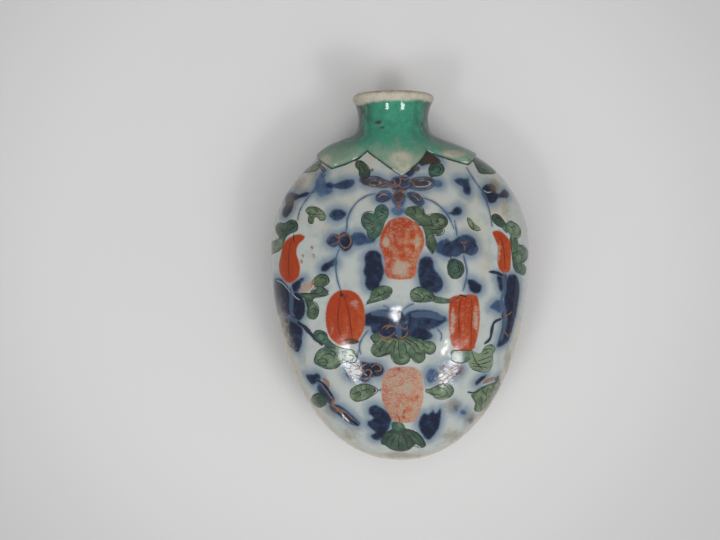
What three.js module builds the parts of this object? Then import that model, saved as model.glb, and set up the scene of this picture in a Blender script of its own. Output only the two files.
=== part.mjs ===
// A flattened ovoid porcelain snuff bottle, lying on its back, with a calyx collar of pointed
// lappets in relief round the foot of its neck. Millimetres, +Z up, mouth towards +Y.
// The origin is on the surface it lies on, under the middle of its box.
import * as THREE from "three";

// Whole bottle. Heights run up the axis from the base, drops run down it from the rim.
const bottleLength = 70;
const bodyWidth = 49.6;
const bodyDepth = 25;
const bodyTopDrop = 6.9; // where the body alone would close, inside the neck
const widestHeight = 41; // of the outline seen from the front
const deepestHeight = 36; // of the outline seen from the side
const shoulderFullness = 1.95; // 2 is an ellipse, more is squarer
const baseFullness = 2.12;
const faceFullness = 2.3;
const wall = 2.6;

// Neck and rim.
const waistRadius = 6.7;
const waistDrop = 4.6;
const neckFootSwell = 0.7;
const neckFootDrop = 9.5;
const neckFillet = 3.2;
const neckOffset = 1.3; // the neck stands this far to the left of the body's middle
const neckOffsetDrop = 14; // where it starts to lean
const rimRadius = 7.85;
const lipRound = 0.8;
const mouthRadius = 3.75;
const mouthEdgeRound = 0.5;

// Calyx collar.
const lappetCount = 6;
const faceLappetLength = 5.2; // front and back, from the notches to the tip
const sideLappetLength = 3.6;
const lappetThickness = 0.8;
const lappetEdgeRound = 0.6;
const lappetOgive = 0.9; // 1 is a straight-sided point, less is a fuller one
const valleyDepth = 0.4;
const notchDrop = 11.4;
const notchSpread = 6; // degrees by which the notches beside the face lappets stand wide
const collarTopDrop = 5.6; // where the lappets grow out of the neck
const collarFootDrop = 17; // below every tip

// The flat ground on the back, on which the bottle lies.
const restFlatDepth = 0.25;

// Mesh: columns run round the girth, rows run along it.
const columns = 12 * lappetCount;
const neckRows = 5;
const collarRows = 6;
const edgeRows = 3;
const bodyRows = 35;
const lipRows = 3;
const boreRows = 3;
const cavityRows = 8;

const axisHeight = bodyDepth / 2 - restFlatDepth;
const bodyTopHeight = bottleLength - bodyTopDrop;
const boreFootHeight = bodyTopHeight - wall;
const waistHeight = bottleLength - waistDrop;
const neckFootHeight = bottleLength - neckFootDrop;
const collarFootHeight = bottleLength - collarFootDrop;

function smoothMax(a, b, blend) {
  const h = Math.max(blend - Math.abs(a - b), 0) / blend;
  return Math.max(a, b) + (h * h * blend) / 4;
}

// The quarter of a superellipse: 1 at its middle, 0 at a share of 1 or more.
function quarterOval(share, fullness) {
  return Math.pow(1 - Math.pow(Math.min(share, 1), fullness), 1 / fullness);
}

// The distance from the axis to a superellipse, along a polar angle that starts at the front.
function sectionRadius(angle, halfWidth, halfDepth) {
  const x = Math.abs(Math.sin(angle)) / Math.max(halfWidth, 1e-6);
  const z = Math.abs(Math.cos(angle)) / Math.max(halfDepth, 1e-6);
  return Math.pow(Math.pow(x, faceFullness) + Math.pow(z, faceFullness), -1 / faceFullness);
}

// The body's surface, or the cavity's where it lies a thickness further in.
function bodyRadius(height, angle, thickness) {
  const base = thickness;
  const top = bodyTopHeight - thickness;
  const width = height < widestHeight
    ? quarterOval((widestHeight - height) / (widestHeight - base), baseFullness)
    : quarterOval((height - widestHeight) / (top - widestHeight), shoulderFullness);
  const depth = height < deepestHeight
    ? quarterOval((deepestHeight - height) / (deepestHeight - base), faceFullness)
    : quarterOval((height - deepestHeight) / (top - deepestHeight), faceFullness);
  const halfWidth = bodyWidth / 2 - thickness;
  const halfDepth = bodyDepth / 2 - thickness;
  return sectionRadius(angle, halfWidth * width, halfDepth * depth);
}

function neckRadius(height) {
  if (height > waistHeight) {
    const lipHeight = bottleLength - lipRound;
    const share = Math.min((height - waistHeight) / (lipHeight - waistHeight), 1);
    return waistRadius + (rimRadius - waistRadius) * share * share;
  }
  return waistRadius + neckFootSwell * THREE.MathUtils.smoothstep(
    waistHeight - height, 0, waistHeight - neckFootHeight);
}

function outerRadius(height, angle) {
  const body = bodyRadius(height, angle, 0);
  // The neck gives way below its foot, so that the body closes at the base.
  return height < neckFootHeight - neckFillet * 4
    ? body
    : smoothMax(neckRadius(height), body, neckFillet);
}

function innerRadius(height, angle) {
  const cavity = bodyRadius(height, angle, wall);
  return height < boreFootHeight - neckFillet * 4
    ? cavity
    : smoothMax(mouthRadius, cavity, neckFillet);
}

function pointAt(height, angle, radius) {
  const aside = neckOffset * THREE.MathUtils.smoothstep(
    height, bottleLength - neckOffsetDrop, neckFootHeight);
  return new THREE.Vector3(
    radius * Math.sin(angle) - aside,
    height - bottleLength / 2,
    axisHeight + radius * Math.cos(angle));
}

// A line down the bottle, from one height to another. It keeps one polar angle in the collar
// and above it, and eases to another at the belly. The heights bunch up at a closed end, so
// that the rows stay even where the surface turns square to the axis.
class Meridian extends THREE.Curve {
  constructor(column, top, bottom, radiusAt) {
    super();
    Object.assign(this, { column, top, bottom, radiusAt });
    this.arcLengthDivisions = 240;
  }

  getPoint(t) {
    const eased = Math.sin((t * Math.PI) / 2);
    const height = THREE.MathUtils.lerp(this.top, this.bottom, eased);
    const rise = THREE.MathUtils.smoothstep(height, widestHeight, collarFootHeight);
    const angle = THREE.MathUtils.lerp(this.column.bellyAngle, this.column.collarAngle, rise);
    return pointAt(height, angle, this.radiusAt(height, angle));
  }

  // The share of the line's length that lies above a height.
  shareAbove(height) {
    const eased = (height - this.top) / (this.bottom - this.top);
    const t = (Math.asin(eased) * 2) / Math.PI;
    const lengths = this.getLengths();
    const at = t * (lengths.length - 1);
    const below = Math.floor(at);
    const length = THREE.MathUtils.lerp(lengths[below], lengths[below + 1], at - below);
    return length / lengths.at(-1);
  }
}

// The section at the widest height, on which the columns are stepped evenly.
class Girth extends THREE.Curve {
  getPoint(t) {
    const angle = t * 2 * Math.PI;
    const radius = sectionRadius(angle, bodyWidth / 2, bodyDepth / 2);
    return new THREE.Vector3(radius * Math.sin(angle), 0, radius * Math.cos(angle));
  }
}

// The columns' polar angles. In the collar they are even but for the wide face lappets.
function columnList() {
  const girth = new Girth();
  girth.arcLengthDivisions = 1440;
  const spread = THREE.MathUtils.degToRad(notchSpread) / Math.sqrt(3);
  return Array.from({ length: columns + 1 }, (_, index) => {
    const even = (index / columns) * 2 * Math.PI;
    const point = girth.getPointAt(index / columns);
    const turned = Math.atan2(point.x, point.z);
    const turns = Math.round((even - turned) / (2 * Math.PI));
    return {
      across: acrossLappet(index),
      collarAngle: even + spread * (Math.sin(2 * even) + Math.sin(4 * even)),
      bellyAngle: turned + turns * 2 * Math.PI,
    };
  });
}

// Across one lappet: 0 on its midrib, 1 in the valleys on both sides.
function acrossLappet(index) {
  const pitch = columns / lappetCount;
  return Math.abs(index / pitch - Math.round(index / pitch)) * 2;
}

function outwardAt(meridian, share) {
  const along = meridian.getTangentAt(THREE.MathUtils.clamp(share, 0, 1));
  const angle = meridian.column.collarAngle;
  const round = new THREE.Vector3(Math.cos(angle), 0, -Math.sin(angle));
  return along.cross(round).normalize();
}

// The outside, from the lip to the base: neck, collar with its raised lappets, then the body.
function outerPoints(column) {
  const lip = bottleLength - lipRound;
  const meridian = new Meridian(column, lip, 0, outerRadius);
  const length = meridian.getLength();
  const collarTop = meridian.shareAbove(bottleLength - collarTopDrop);
  const facing = Math.pow(Math.cos(column.collarAngle), 2);
  const lappetLength = THREE.MathUtils.lerp(sideLappetLength, faceLappetLength, facing);
  const reach = lappetLength * Math.pow(1 - column.across, lappetOgive);
  const edge = meridian.shareAbove(bottleLength - notchDrop) + reach / length;
  const points = [];
  for (let row = 0; row < neckRows; row += 1) {
    points.push(meridian.getPointAt((collarTop * row) / neckRows));
  }
  const relief = lappetThickness - valleyDepth * column.across * column.across;
  const round = lappetEdgeRound / length;
  const raised = (share, rise) =>
    meridian.getPointAt(share).addScaledVector(outwardAt(meridian, share), rise);
  for (let row = 0; row <= collarRows; row += 1) {
    const down = row / collarRows;
    const share = THREE.MathUtils.lerp(collarTop, edge - round, down);
    points.push(raised(share, relief * THREE.MathUtils.smoothstep(down, 0, 1)));
  }
  for (let row = 1; row < edgeRows; row += 1) {
    const turn = ((Math.PI / 2) * row) / edgeRows;
    points.push(raised(edge - round * (1 - Math.sin(turn)), relief * Math.cos(turn)));
  }
  for (let row = 0; row <= bodyRows; row += 1) {
    points.push(meridian.getPointAt(THREE.MathUtils.lerp(edge, 1, row / bodyRows)));
  }
  return points;
}

// The rounded lip and the flat ring on top of it, from the mouth out to the neck.
function lipPoints(angle) {
  const points = [];
  const quarter = Math.PI / 2;
  for (let row = 0; row <= lipRows; row += 1) {
    const turn = (quarter * row) / lipRows;
    points.push(pointAt(
      bottleLength - mouthEdgeRound * (1 - Math.sin(turn)),
      angle,
      mouthRadius + mouthEdgeRound * (1 - Math.cos(turn))));
  }
  for (let row = 0; row < lipRows; row += 1) {
    const turn = (quarter * row) / lipRows;
    points.push(pointAt(
      bottleLength - lipRound * (1 - Math.cos(turn)),
      angle,
      rimRadius - lipRound * (1 - Math.sin(turn))));
  }
  return points;
}

// The inside, from the bottom of the cavity up to the mouth.
function innerPoints(column) {
  const mouth = bottleLength - mouthEdgeRound;
  const meridian = new Meridian(column, mouth, wall, innerRadius);
  const foot = meridian.shareAbove(boreFootHeight);
  const points = [];
  for (let row = 0; row < cavityRows; row += 1) {
    points.push(meridian.getPointAt(THREE.MathUtils.lerp(1, foot, row / cavityRows)));
  }
  for (let row = 0; row < boreRows; row += 1) {
    points.push(meridian.getPointAt(THREE.MathUtils.lerp(foot, 0, row / boreRows)));
  }
  return points;
}

// A lathe of the right rows and columns, whose points are then moved onto the bottle.
function bottleGeometry() {
  // Reversed, each line runs up the outside, so that the lathe's faces point outwards.
  const lines = columnList().map((column) => [
    ...innerPoints(column),
    ...lipPoints(column.collarAngle),
    ...outerPoints(column),
  ].reverse());
  const rows = lines[0].length;
  const outline = Array.from({ length: rows }, (_, row) => new THREE.Vector2(1, row));
  const geometry = new THREE.LatheGeometry(outline, columns);
  const position = geometry.getAttribute("position");
  lines.forEach((line, index) => {
    line.forEach((point, row) => {
      position.setXYZ(index * rows + row, point.x, point.y, Math.max(point.z, 0));
    });
  });
  geometry.computeVertexNormals();
  return geometry;
}

const porcelain = new THREE.MeshStandardMaterial({
  color: 0xd9dcd3, roughness: 0.22, metalness: 0 });

const bottle = new THREE.Mesh(bottleGeometry(), porcelain);
bottle.name = "bottle";

const snuffBottle = new THREE.Group();
snuffBottle.add(bottle);

export default snuffBottle;
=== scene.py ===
"""A porcelain snuff bottle lying on its back, painted with fruit, leaves and flowers.

The piece is made from the CAD bottle: its mesh is smoothed, the drawing is laid on it as
distances to each painted shape, and the glaze material turns those distances into enamel.
Everything drawn is placed by a pixel of the 720 x 540 view and lies on the bottle's surface.
"""
import math

import bpy
import numpy as np
from bpy.props import FloatProperty, FloatVectorProperty, IntProperty, PointerProperty
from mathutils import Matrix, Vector
from mathutils.bvhtree import BVHTree


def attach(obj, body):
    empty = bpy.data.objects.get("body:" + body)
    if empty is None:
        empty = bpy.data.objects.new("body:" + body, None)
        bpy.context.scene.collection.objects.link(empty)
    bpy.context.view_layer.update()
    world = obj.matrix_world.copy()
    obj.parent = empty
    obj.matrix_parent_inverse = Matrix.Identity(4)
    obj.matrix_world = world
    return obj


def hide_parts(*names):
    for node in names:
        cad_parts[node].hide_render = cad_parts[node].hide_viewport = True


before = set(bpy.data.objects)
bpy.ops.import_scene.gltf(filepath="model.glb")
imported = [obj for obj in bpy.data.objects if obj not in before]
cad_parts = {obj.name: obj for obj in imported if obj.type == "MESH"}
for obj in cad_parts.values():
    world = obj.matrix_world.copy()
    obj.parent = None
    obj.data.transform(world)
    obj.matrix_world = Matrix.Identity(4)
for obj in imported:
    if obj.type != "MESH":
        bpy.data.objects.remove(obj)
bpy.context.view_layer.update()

bl_info = {
    "name": "Porcelain snuff bottle",
    "version": (1, 0, 0),
    "blender": (4, 5, 0),
    "location": "View3D > Sidebar > Snuff bottle",
    "description": "Smooths, paints and lights a porcelain snuff bottle",
    "category": "Object",
}

MM = 0.001
PIECE = "bottle_painted"
VIEW_WIDTH, VIEW_HEIGHT = 720, 540
RIM_Y = 35.0  # mm along the axis
AXIS_Z = 12.25
BORE_REACH = 5.6  # mm from the neck's axis; what is sharp within it is the bore's
ASIDE, LEAN_FROM, LEAN_TO = 1.3, 21.0, 25.5  # the neck leans aside between two heights
FAR = 3.0  # mm beyond which a painted edge no longer matters
UNSET = 9.0  # mm, a distance where nothing is near
WELD = 0.004 * MM
PAIR_ANGLE = math.radians(70)  # triangles flatter to each other than this become one quad
FLARE_FROM, FLARE_OVER = 27.0, 6.0  # mm along the axis
FLARE_SKIN, FLARE_FADE = 4.2, 1.8  # mm from the neck's axis, so that the mouth stays round
LEAF_LINE = 0.085  # half widths in mm
RIB_LINE = 0.13

# Kinds of brush line.
INK, GOLD, BROWN, RIB, VINE, NAVY, PALE = range(7)


# ---------------------------------------------------------------- drawing, in view pixels

def oval(x, y, rx, ry=None, turn=0.0, power=2.0, count=22):
    """The outline of an oval; a power above 2 makes it squarer."""
    ry = rx if ry is None else ry
    turn = math.radians(turn)
    points = []
    for step in range(count):
        angle = 2 * math.pi * step / count
        c, s = math.cos(angle), math.sin(angle)
        u = rx * math.copysign(abs(c) ** (2 / power), c)
        v = ry * math.copysign(abs(s) ** (2 / power), s)
        points.append((x + u * math.cos(turn) - v * math.sin(turn),
                       y + u * math.sin(turn) + v * math.cos(turn)))
    return points


def curve(points, closed=False, steps=4):
    """A smooth line through the points."""
    points = [tuple(p) for p in points]
    if len(points) < 3 and not closed:
        (x0, y0), (x1, y1) = points[0], points[-1]
        parts = max(2, int(math.hypot(x1 - x0, y1 - y0) / 4))
        return [(x0 + (x1 - x0) * i / parts, y0 + (y1 - y0) * i / parts)
                for i in range(parts + 1)]
    count = len(points)
    spans = count if closed else count - 1
    line = []
    for i in range(spans):
        if closed:
            p0, p1, p2, p3 = (points[(i + k - 1) % count] for k in range(4))
        else:
            p0, p1, p2, p3 = (points[min(max(i + k - 1, 0), count - 1)] for k in range(4))
        for step in range(steps):
            t = step / steps
            line.append(tuple(
                0.5 * (2 * b + (c - a) * t + (2 * a - 5 * b + 4 * c - d) * t * t
                       + (3 * b - a - 3 * c + d) * t ** 3)
                for a, b, c, d in zip(p0, p1, p2, p3)))
    if not closed:
        line.append(points[-1])
    return line


def blob(*points):
    """A smooth closed outline through the points."""
    return curve(points, closed=True)


# Leaves: hue (0 teal, 1 olive), depth (0 pale, 1 dark), outlines, and the ink lines on them.
LEAVES = [
    (0.15, 0.6, [[(361.4, 221.4), (362.9, 215), (368.6, 212.1), (373.6, 213.6), (376.4, 207.1),
     (382.1, 205), (387.9, 208.6), (389.3, 214.3), (385.7, 221.4), (383.6, 228.6), (380, 235.7),
     (374.3, 239.3), (368.6, 236.4), (366.4, 230.7), (362.9, 227.1)]], [[(375, 213.6), (371.4,
     211.4), (364.3, 212.9), (361.4, 218.6), (362.1, 224.3), (364.3, 227.1)], [(364.3, 227.1),
     (367.1, 230.3), (371.4, 229.6), (374.3, 227.9)], [(374.3, 213.6), (376.4, 207.1), (382.1,
     204.6), (387.4, 207.1), (388.9, 211.4)], [(363.6, 217.1), (370, 220), (374.3, 223.6)],
     [(362.9, 222.9), (368.6, 223.6), (373.6, 225)], [(375.7, 218.6), (381.4, 215.7), (386.4,
     213.6)], [(377.9, 210.7), (382.9, 208.6), (386.4, 212.1)], [(366.9, 230.7), (367.9, 235.7),
     (372.9, 239.3), (377.1, 237.4)], [(370, 235.7), (373.6, 232.1), (375.7, 229.3)]]),
    (0.72, 0.62, [[(404.3, 213.6), (407.1, 208.6), (412.9, 205.7), (420, 207.1), (424.3, 212.1),
     (428.6, 215.7), (434.3, 213.1), (441.4, 214.3), (447.1, 218.6), (447.9, 223.6), (444.3,
     227.9), (442.9, 232.1), (438.6, 235.7), (433.6, 234.3), (436.4, 240), (437.1, 245.7), (435,
     252.1), (432.1, 254.3), (428.6, 250), (425.7, 244.3), (425, 235.7), (422.9, 228.6), (417.1,
     222.9), (411.4, 218.6)]], [[(405.7, 208.6), (411.4, 206.9), (415, 210), (415.7, 214.3)],
     [(414.3, 207.9), (420.7, 206.4), (424.3, 211.4), (422.9, 215.7)], [(425.7, 215.7), (434.3,
     213.1), (442.9, 215), (447.9, 221.4), (445, 227.1), (439.3, 228.6), (435, 225)], [(435.7,
     223.6), (437.4, 218.6), (441.4, 216.9), (445.4, 220), (445, 224.3), (441.4, 226), (438.3,
     224), (438.6, 221.1)], [(430.7, 219.3), (432.1, 224.3), (429.3, 227.1)], [(422.9, 226), (430,
     225.3), (435.7, 226.7)], [(430.7, 229.3), (437.1, 229.7), (443.6, 227.9)], [(431.4, 233.6),
     (437.1, 236), (443.6, 233.6), (444.6, 228.6)], [(425.7, 235.7), (429.3, 238.6), (434.3,
     235.7)], [(424.3, 244.3), (428.6, 247.1), (432.1, 249.3), (432.9, 254.6)], [(429.3, 240),
     (428.6, 247.1)], [(414.3, 221.4), (418.6, 225), (421.4, 225.7)]]),
    (0.5, 0.55, [[(369.3, 298.6), (370.7, 292.9), (374.3, 288.6), (380, 286), (387.1, 285.7),
     (391.4, 289.3), (391.7, 292.9), (388.6, 297.1), (382.1, 300), (375.7, 301.7), (370, 303.1),
     (365, 305), (366.4, 302.1)]], [[(370.7, 292.9), (375.7, 287.9), (382.9, 285.7), (390.7,
     287.4), (392.1, 292.1), (387.9, 297.9), (380, 300.7), (371.4, 302.9), (365, 304.7)], [(371.4,
     298.6), (378.6, 295.7), (385.7, 292.9), (389.3, 290.7)], [(374.3, 297.1), (372.9, 292.9)],
     [(379.3, 295.4), (377.9, 291.4)], [(384.3, 293.6), (384.3, 289.3)]]),
    (0.4, 0.42, [[(409.7, 294.3), (412.1, 289.3), (417.9, 286.9), (424.3, 287.9), (430.7, 291.4),
     (435, 295.7), (441.4, 297.1), (450, 298.6), (457.1, 296), (459.3, 295), (457.1, 299.3), (450,
     302.6), (440, 303.1), (432.9, 301.7), (424.3, 302.9), (415.7, 302.1), (411.4, 298.6)]],
     [[(410, 295), (412.1, 290), (418.6, 287.1), (425.7, 288.6), (432.9, 293.6), (435, 298.6),
     (432.9, 302.1)], [(410, 295), (411.4, 300), (417.1, 302.1), (422.9, 300), (424.3, 295.7),
     (420.7, 292.9)], [(412.9, 292.9), (418.6, 295), (421.4, 297.4)], [(434.3, 302.3), (442.9,
     303.4), (451.4, 302.1), (457.1, 298.6), (460, 295)], [(424.3, 293.6), (429.3, 297.1), (432.1,
     298.6)]]),
    (0.8, 0.38, [[(305, 210.7), (308.6, 207.6), (315.7, 206.7), (321.4, 209.3), (325.7, 214.3),
     (325.7, 217.9), (322.9, 220.7), (318.6, 219.3), (316.4, 217.1), (314.3, 218.6), (313.6,
     222.9), (309.4, 223.6), (307.4, 219.3), (308.6, 215.7)]], [[(305, 211.4), (308.6, 207.1),
     (317.1, 207.1)], [(306.4, 212.9), (314.3, 214.4), (322.1, 214.3)], [(314.3, 214.3), (317.9,
     210.7)], [(313.1, 214.3), (310.7, 218.6)], [(321.4, 214), (325.4, 215.7), (325, 219.6),
     (320.7, 220.7), (318.6, 219.3)], [(308.6, 219.3), (310, 223.6), (314, 222.9)], [(310, 210.7),
     (313.6, 213.6)], [(315.7, 209.3), (318.9, 213.6)]]),
    (0.6, 0.1, [[(467.4, 217.1), (470.7, 218.6), (473.6, 222.1), (477.1, 225.7), (481.4, 228.6),
     (478.6, 231), (473.6, 230.7), (470, 227.9), (467.4, 222.1)]], [[(467.4, 217.1), (468, 222.9),
     (471.4, 227.9), (476.4, 231), (481.7, 229.3)], [(471.4, 222.1), (473.6, 225.7), (473.1,
     228.6)]]),
    (0.85, 0.9, [[(355, 165), (357.1, 161.4), (361.4, 160.4), (365.7, 163.6), (369.3, 169.3),
     (370, 174.3), (367.1, 177.6), (362.9, 177.9), (360, 175), (358.6, 170.7), (356, 167.9)]],
     [[(360.7, 160.7), (367.1, 165), (370, 170.7), (369.3, 176.4), (363.6, 178.6), (359.7, 175.7),
     (359.3, 169.3), (360.7, 161)], [(355, 165), (356.4, 161.4), (360.7, 160.4)], [(361.7, 165),
     (364.3, 170.7), (365, 176.4)], [(362.9, 169.3), (367.1, 170.7)], [(360, 172.9), (364.3,
     173.6)]]),
    (0.05, 0.72, [[(428.1, 170), (430, 165), (435, 162.6), (440.7, 163.3), (444, 167.1), (443.6,
     172.1), (440, 175.7), (435, 176.7), (430.7, 177.9), (429, 173.9)]], [[(429.3, 170.7), (430.7,
     165), (436.4, 162.6), (442.1, 164.3), (444.3, 169.3), (442.1, 174.3), (436.4, 176.4), (432.1,
     175)], [(432.9, 170.7), (434.3, 167.1), (438.6, 166.4), (440.7, 169.3), (438.6, 172.4), (435,
     172.1)], [(429.3, 168.6), (432.9, 170.7)]]),
    (0.55, 0.46, [[(370.7, 335.7), (375.7, 333.6), (380, 335.7), (385.7, 336.4), (397.1, 337.9),
     (408.6, 335.7), (414.3, 337.9), (422.9, 340), (425.7, 348.6), (425, 352.1), (425.4, 357.9),
     (422.1, 362.1), (416.4, 362.6), (412.1, 358.6), (410, 358.6), (407.9, 362.9), (402.1, 364.3),
     (395, 362.9), (391.4, 357.1), (390, 353.6), (387.1, 355.7), (380, 356.9), (373.6, 355),
     (370.7, 350), (372.9, 345), (374.3, 342.9), (370.7, 340)]], [[(370.7, 335.7), (372.9, 341.4),
     (377.9, 341.4), (380, 337.1)], [(373.6, 343.6), (370.7, 350), (374.3, 355.7), (380, 356.7),
     (385.7, 353.1), (387.9, 354.6), (390.7, 351.1)], [(391.4, 350.7), (391.1, 357.9), (395.7,
     363.3), (403.6, 364.4), (409.7, 360.7), (409.3, 355), (406.4, 350.7)], [(410.7, 355.7),
     (414.3, 362.1), (420.7, 362.6), (425.1, 357.9), (424.3, 350.7)], [(398.6, 337.9), (394.3,
     345.7), (393.6, 355.7)], [(398.6, 337.9), (398.6, 348.6), (399.7, 357.4)], [(400, 337.9),
     (405.7, 347.1), (407.1, 355.7)], [(398.6, 337.1), (391.4, 342.9), (385.7, 351.4)], [(397.9,
     337.1), (387.1, 340), (378.6, 344.3)], [(385.7, 341.4), (380.3, 347.9), (377.9, 353.1)],
     [(400, 337.1), (411.4, 345.7), (416.4, 354.3)], [(400.7, 337.1), (414.3, 342.9), (421.4,
     351.4)], [(400, 359.7), (402.1, 356.9), (404.6, 359.4)], [(375, 350.7), (377.9, 348.6), (381,
     350.7), (379.3, 353.4)], [(414.3, 355), (417.9, 352.4), (421, 355.3)]]),
    (0.6, 0.32, [[(423.1, 341.4), (430, 340.7), (435, 343.6), (435.7, 348.6), (432.9, 353.6),
     (427.1, 354.3), (424.6, 350.7)]], [[(425, 350.7), (428.6, 354.3), (433.6, 352.9), (436,
     347.1), (432.9, 342.4)], [(414.3, 340), (421.4, 342.9), (428.6, 348.6)], [(427.1, 349.3),
     (430.7, 347.1)]]),
    (0.33, 0.8, [[(275.3, 226.7), (278.7, 223.3), (283.1, 222.8), (285.9, 222.2), (289.2, 220),
     (294.2, 220.6), (297.3, 223.3), (297.8, 228.9), (295.3, 232.2), (290.9, 233.9), (286.4,
     236.7), (284.8, 241.1), (280.9, 240), (278.7, 236.7), (276.4, 233.3)]], [[(275.3, 226.7),
     (278.7, 222.8), (284.2, 223.3)], [(285.3, 224.4), (288.7, 220.6), (294.2, 220), (297.6,
     223.9), (297.9, 228.9), (295.9, 232.2)], [(275.9, 231.1), (279.2, 232.2), (283.1, 231.1)],
     [(277.6, 226.7), (281.4, 229.4), (284.2, 233.3)], [(286.7, 226.7), (289.8, 223.3), (293.7,
     223.9), (294.2, 226.7), (291.4, 228)], [(283.1, 233.3), (279.8, 237.8), (277.6, 242.2)],
     [(288.1, 231.1), (292, 228.9), (295.3, 226.7)]]),
    (0.3, 0.42, [[(268.1, 252.2), (268.7, 247.8), (272, 242.2), (277.6, 239.4), (284.2, 236.7),
     (283.7, 245.6), (277.6, 251.7), (270.9, 255)]], [[(278.7, 236.7), (276.4, 240), (272, 242.2),
     (269.8, 246.7)], [(268.7, 254.4), (273.1, 252.8), (278.7, 251.1), (283.7, 246.1)], [(270.3,
     250.6), (274.2, 247.8), (273.1, 244.4)]]),
    (0.15, 0.88, [[(491.1, 215.6), (495, 213.9), (499.4, 215.6), (503.3, 220), (505.6, 224.4),
     (502.8, 227.8), (498.3, 226.7), (493.9, 223.3), (491.7, 220)]], [[(491.7, 216.7), (494.4,
     213.9), (499.4, 215.6), (503.3, 220), (505.9, 223.9)], [(495, 221.1), (497.2, 216.9), (500.6,
     220), (499.4, 223.3)]]),
    (0, 0.3, [[(501.7, 226.7), (506.1, 225), (508.9, 230), (507.2, 233.3), (503.3, 230.2)]], []),
    (0.5, 0.3, [[(506.7, 223.3), (510.6, 221.1), (516.1, 223.3), (520.6, 228.9), (520.6, 234.4),
     (516.1, 238.9), (511.7, 236.7), (508.3, 232.2)]], [[(506.7, 223.9), (510.6, 220.9), (513.9,
     222.2)], [(513.9, 222.2), (518.3, 225.6), (521.1, 231.1), (520, 236.7), (515.6, 238.9),
     (512.2, 237.8)], [(508.9, 225.6), (512.2, 227.8), (514.4, 233.3)], [(511.9, 228), (514.1,
     225.8), (516.7, 230)]]),
    (0.45, 0.55, [[(510, 236.7), (517.2, 240), (518.3, 244.4), (522.8, 245.6), (527.2, 250),
     (528.3, 255.6), (526.1, 261.1), (521.7, 263.3), (526.1, 266.7), (525.6, 273.3), (522.8,
     275.6), (516.1, 272.2), (512.8, 266.7), (511.7, 255.6), (510, 244.4)]], [[(511.1, 237.8),
     (511.1, 244.4), (511.7, 253.3), (513.3, 261.1)], [(517.2, 238.9), (518.9, 244.4), (523.9,
     245.6), (527.8, 251.1), (528, 256.7), (523.9, 262.2), (520.6, 263.3)], [(512.8, 253.6),
     (517.2, 252.2), (520.6, 248.9)], [(519.4, 252.2), (521.7, 255.6), (525, 253.3), (524.4,
     250)], [(512.8, 256.7), (518.3, 260), (522.8, 262.2)], [(513.9, 264.4), (518.3, 268.9),
     (521.7, 273.3)], [(520.6, 268.9), (523, 271.1)]]),
    (0.62, 0.58, [[(298.2, 293.8), (303.2, 292.5), (309.5, 293.1), (312, 290), (317, 287.5),
     (312, 283.8), (314.5, 277.5), (319.5, 273.8), (325.8, 274.4), (329.5, 279.4), (328.2, 284.4),
     (323.2, 286.9), (326.4, 290), (328.9, 294.4), (324.5, 296.9), (317, 298.1), (312, 300.6),
     (315.8, 303.8), (318.9, 310), (317.6, 317.5), (313.2, 320), (308.2, 318.1), (306.4, 313.8),
     (307, 307.5), (304.5, 300), (300.8, 296.2)]], [[(317, 278.8), (320.8, 274.4), (326.4, 275),
     (329.5, 280.6), (327, 285), (322, 286.2)], [(318.9, 280.9), (322, 277.5), (326.4, 279.4),
     (325.1, 283.1), (321.4, 283.8)], [(310.1, 292.5), (314.5, 287.5), (322, 286.9), (326.4,
     290.6), (329, 295.6)], [(298.9, 293.8), (309.5, 293.5), (318.2, 293.8), (324.5, 291.2)],
     [(313.2, 293.4), (317, 290.6)], [(317, 293.8), (320.8, 295.9), (325.8, 294.6)], [(312,
     300.6), (317, 303.8), (319, 310), (317.6, 316.9)], [(309.5, 311.2), (312, 308.1), (315.8,
     310), (315.8, 313.8), (312, 316.2)], [(304.5, 300), (308.2, 306.2), (308.9, 313.8)], [(303.2,
     296.2), (308.2, 300), (312, 300.6)]]),
    (0.05, 0.5, [[(313.6, 334.3), (314.3, 331.4), (321.4, 330.4), (327.1, 333.6), (328.6, 338.6),
     (335.7, 345), (345.7, 348.6), (352.9, 350.3), (357.4, 357.9), (355, 362.4), (348.6, 361.7),
     (342.9, 359.3), (335.7, 354.3), (328.6, 348.6), (321.4, 342.9), (315.7, 338.6)]], [[(313.6,
     336), (315, 331.4), (320.7, 330.3), (326.4, 333.6), (327.9, 338.6)], [(315.7, 335.7), (321.4,
     332.9), (326.4, 336)], [(317.1, 338.6), (321.4, 340.7), (327.1, 338.1)], [(328.6, 341.4),
     (337.1, 346.7), (344.3, 348.6)], [(341.4, 359.3), (343.1, 362.9), (347.1, 361), (349.3,
     363.1), (354.6, 362.4), (357.4, 357.1), (354.3, 351.1), (349.3, 349.3)], [(348.6, 355),
     (352.9, 355.7), (353.6, 359.3), (350, 360.3)]]),
    (0.22, 0.42, [[(313.6, 361.4), (315.7, 354.3), (321.4, 349.3), (330, 347.9), (338.6, 350.7),
     (342.9, 355.7), (341.4, 362.9), (335.7, 367.9), (328.6, 368.9), (321.4, 366.4), (315.7,
     364.3)]], [[(314.3, 362.1), (315.7, 354.3), (321.4, 348.6), (330, 347.1), (337.4, 348.6)],
     [(315, 362.4), (320, 366.4), (328.6, 369), (336.4, 367.9), (341.4, 363.1), (342.9, 358.1)],
     [(320, 357.9), (325.7, 354.3), (332.1, 354.3), (334.4, 358.6), (332.1, 363.1)], [(317.1,
     361.4), (321.4, 358.6), (326.4, 360), (327.1, 364.3), (322.9, 366.4)], [(321.4, 362.1),
     (325.4, 363)], [(330, 351), (334.6, 352.4), (336.4, 357.4)]]),
    (0.02, 0.5, [[(450.7, 350.7), (457.1, 350.1), (468.6, 350.4), (471.4, 355.7), (470, 360.7),
     (464.3, 362.9), (457.1, 362.4), (451.4, 360.3), (450.6, 354.3)]], [[(450.7, 350.7), (462.9,
     350), (472.9, 350.7)], [(451.4, 360), (457.1, 362.7), (464.3, 363)]]),
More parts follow.
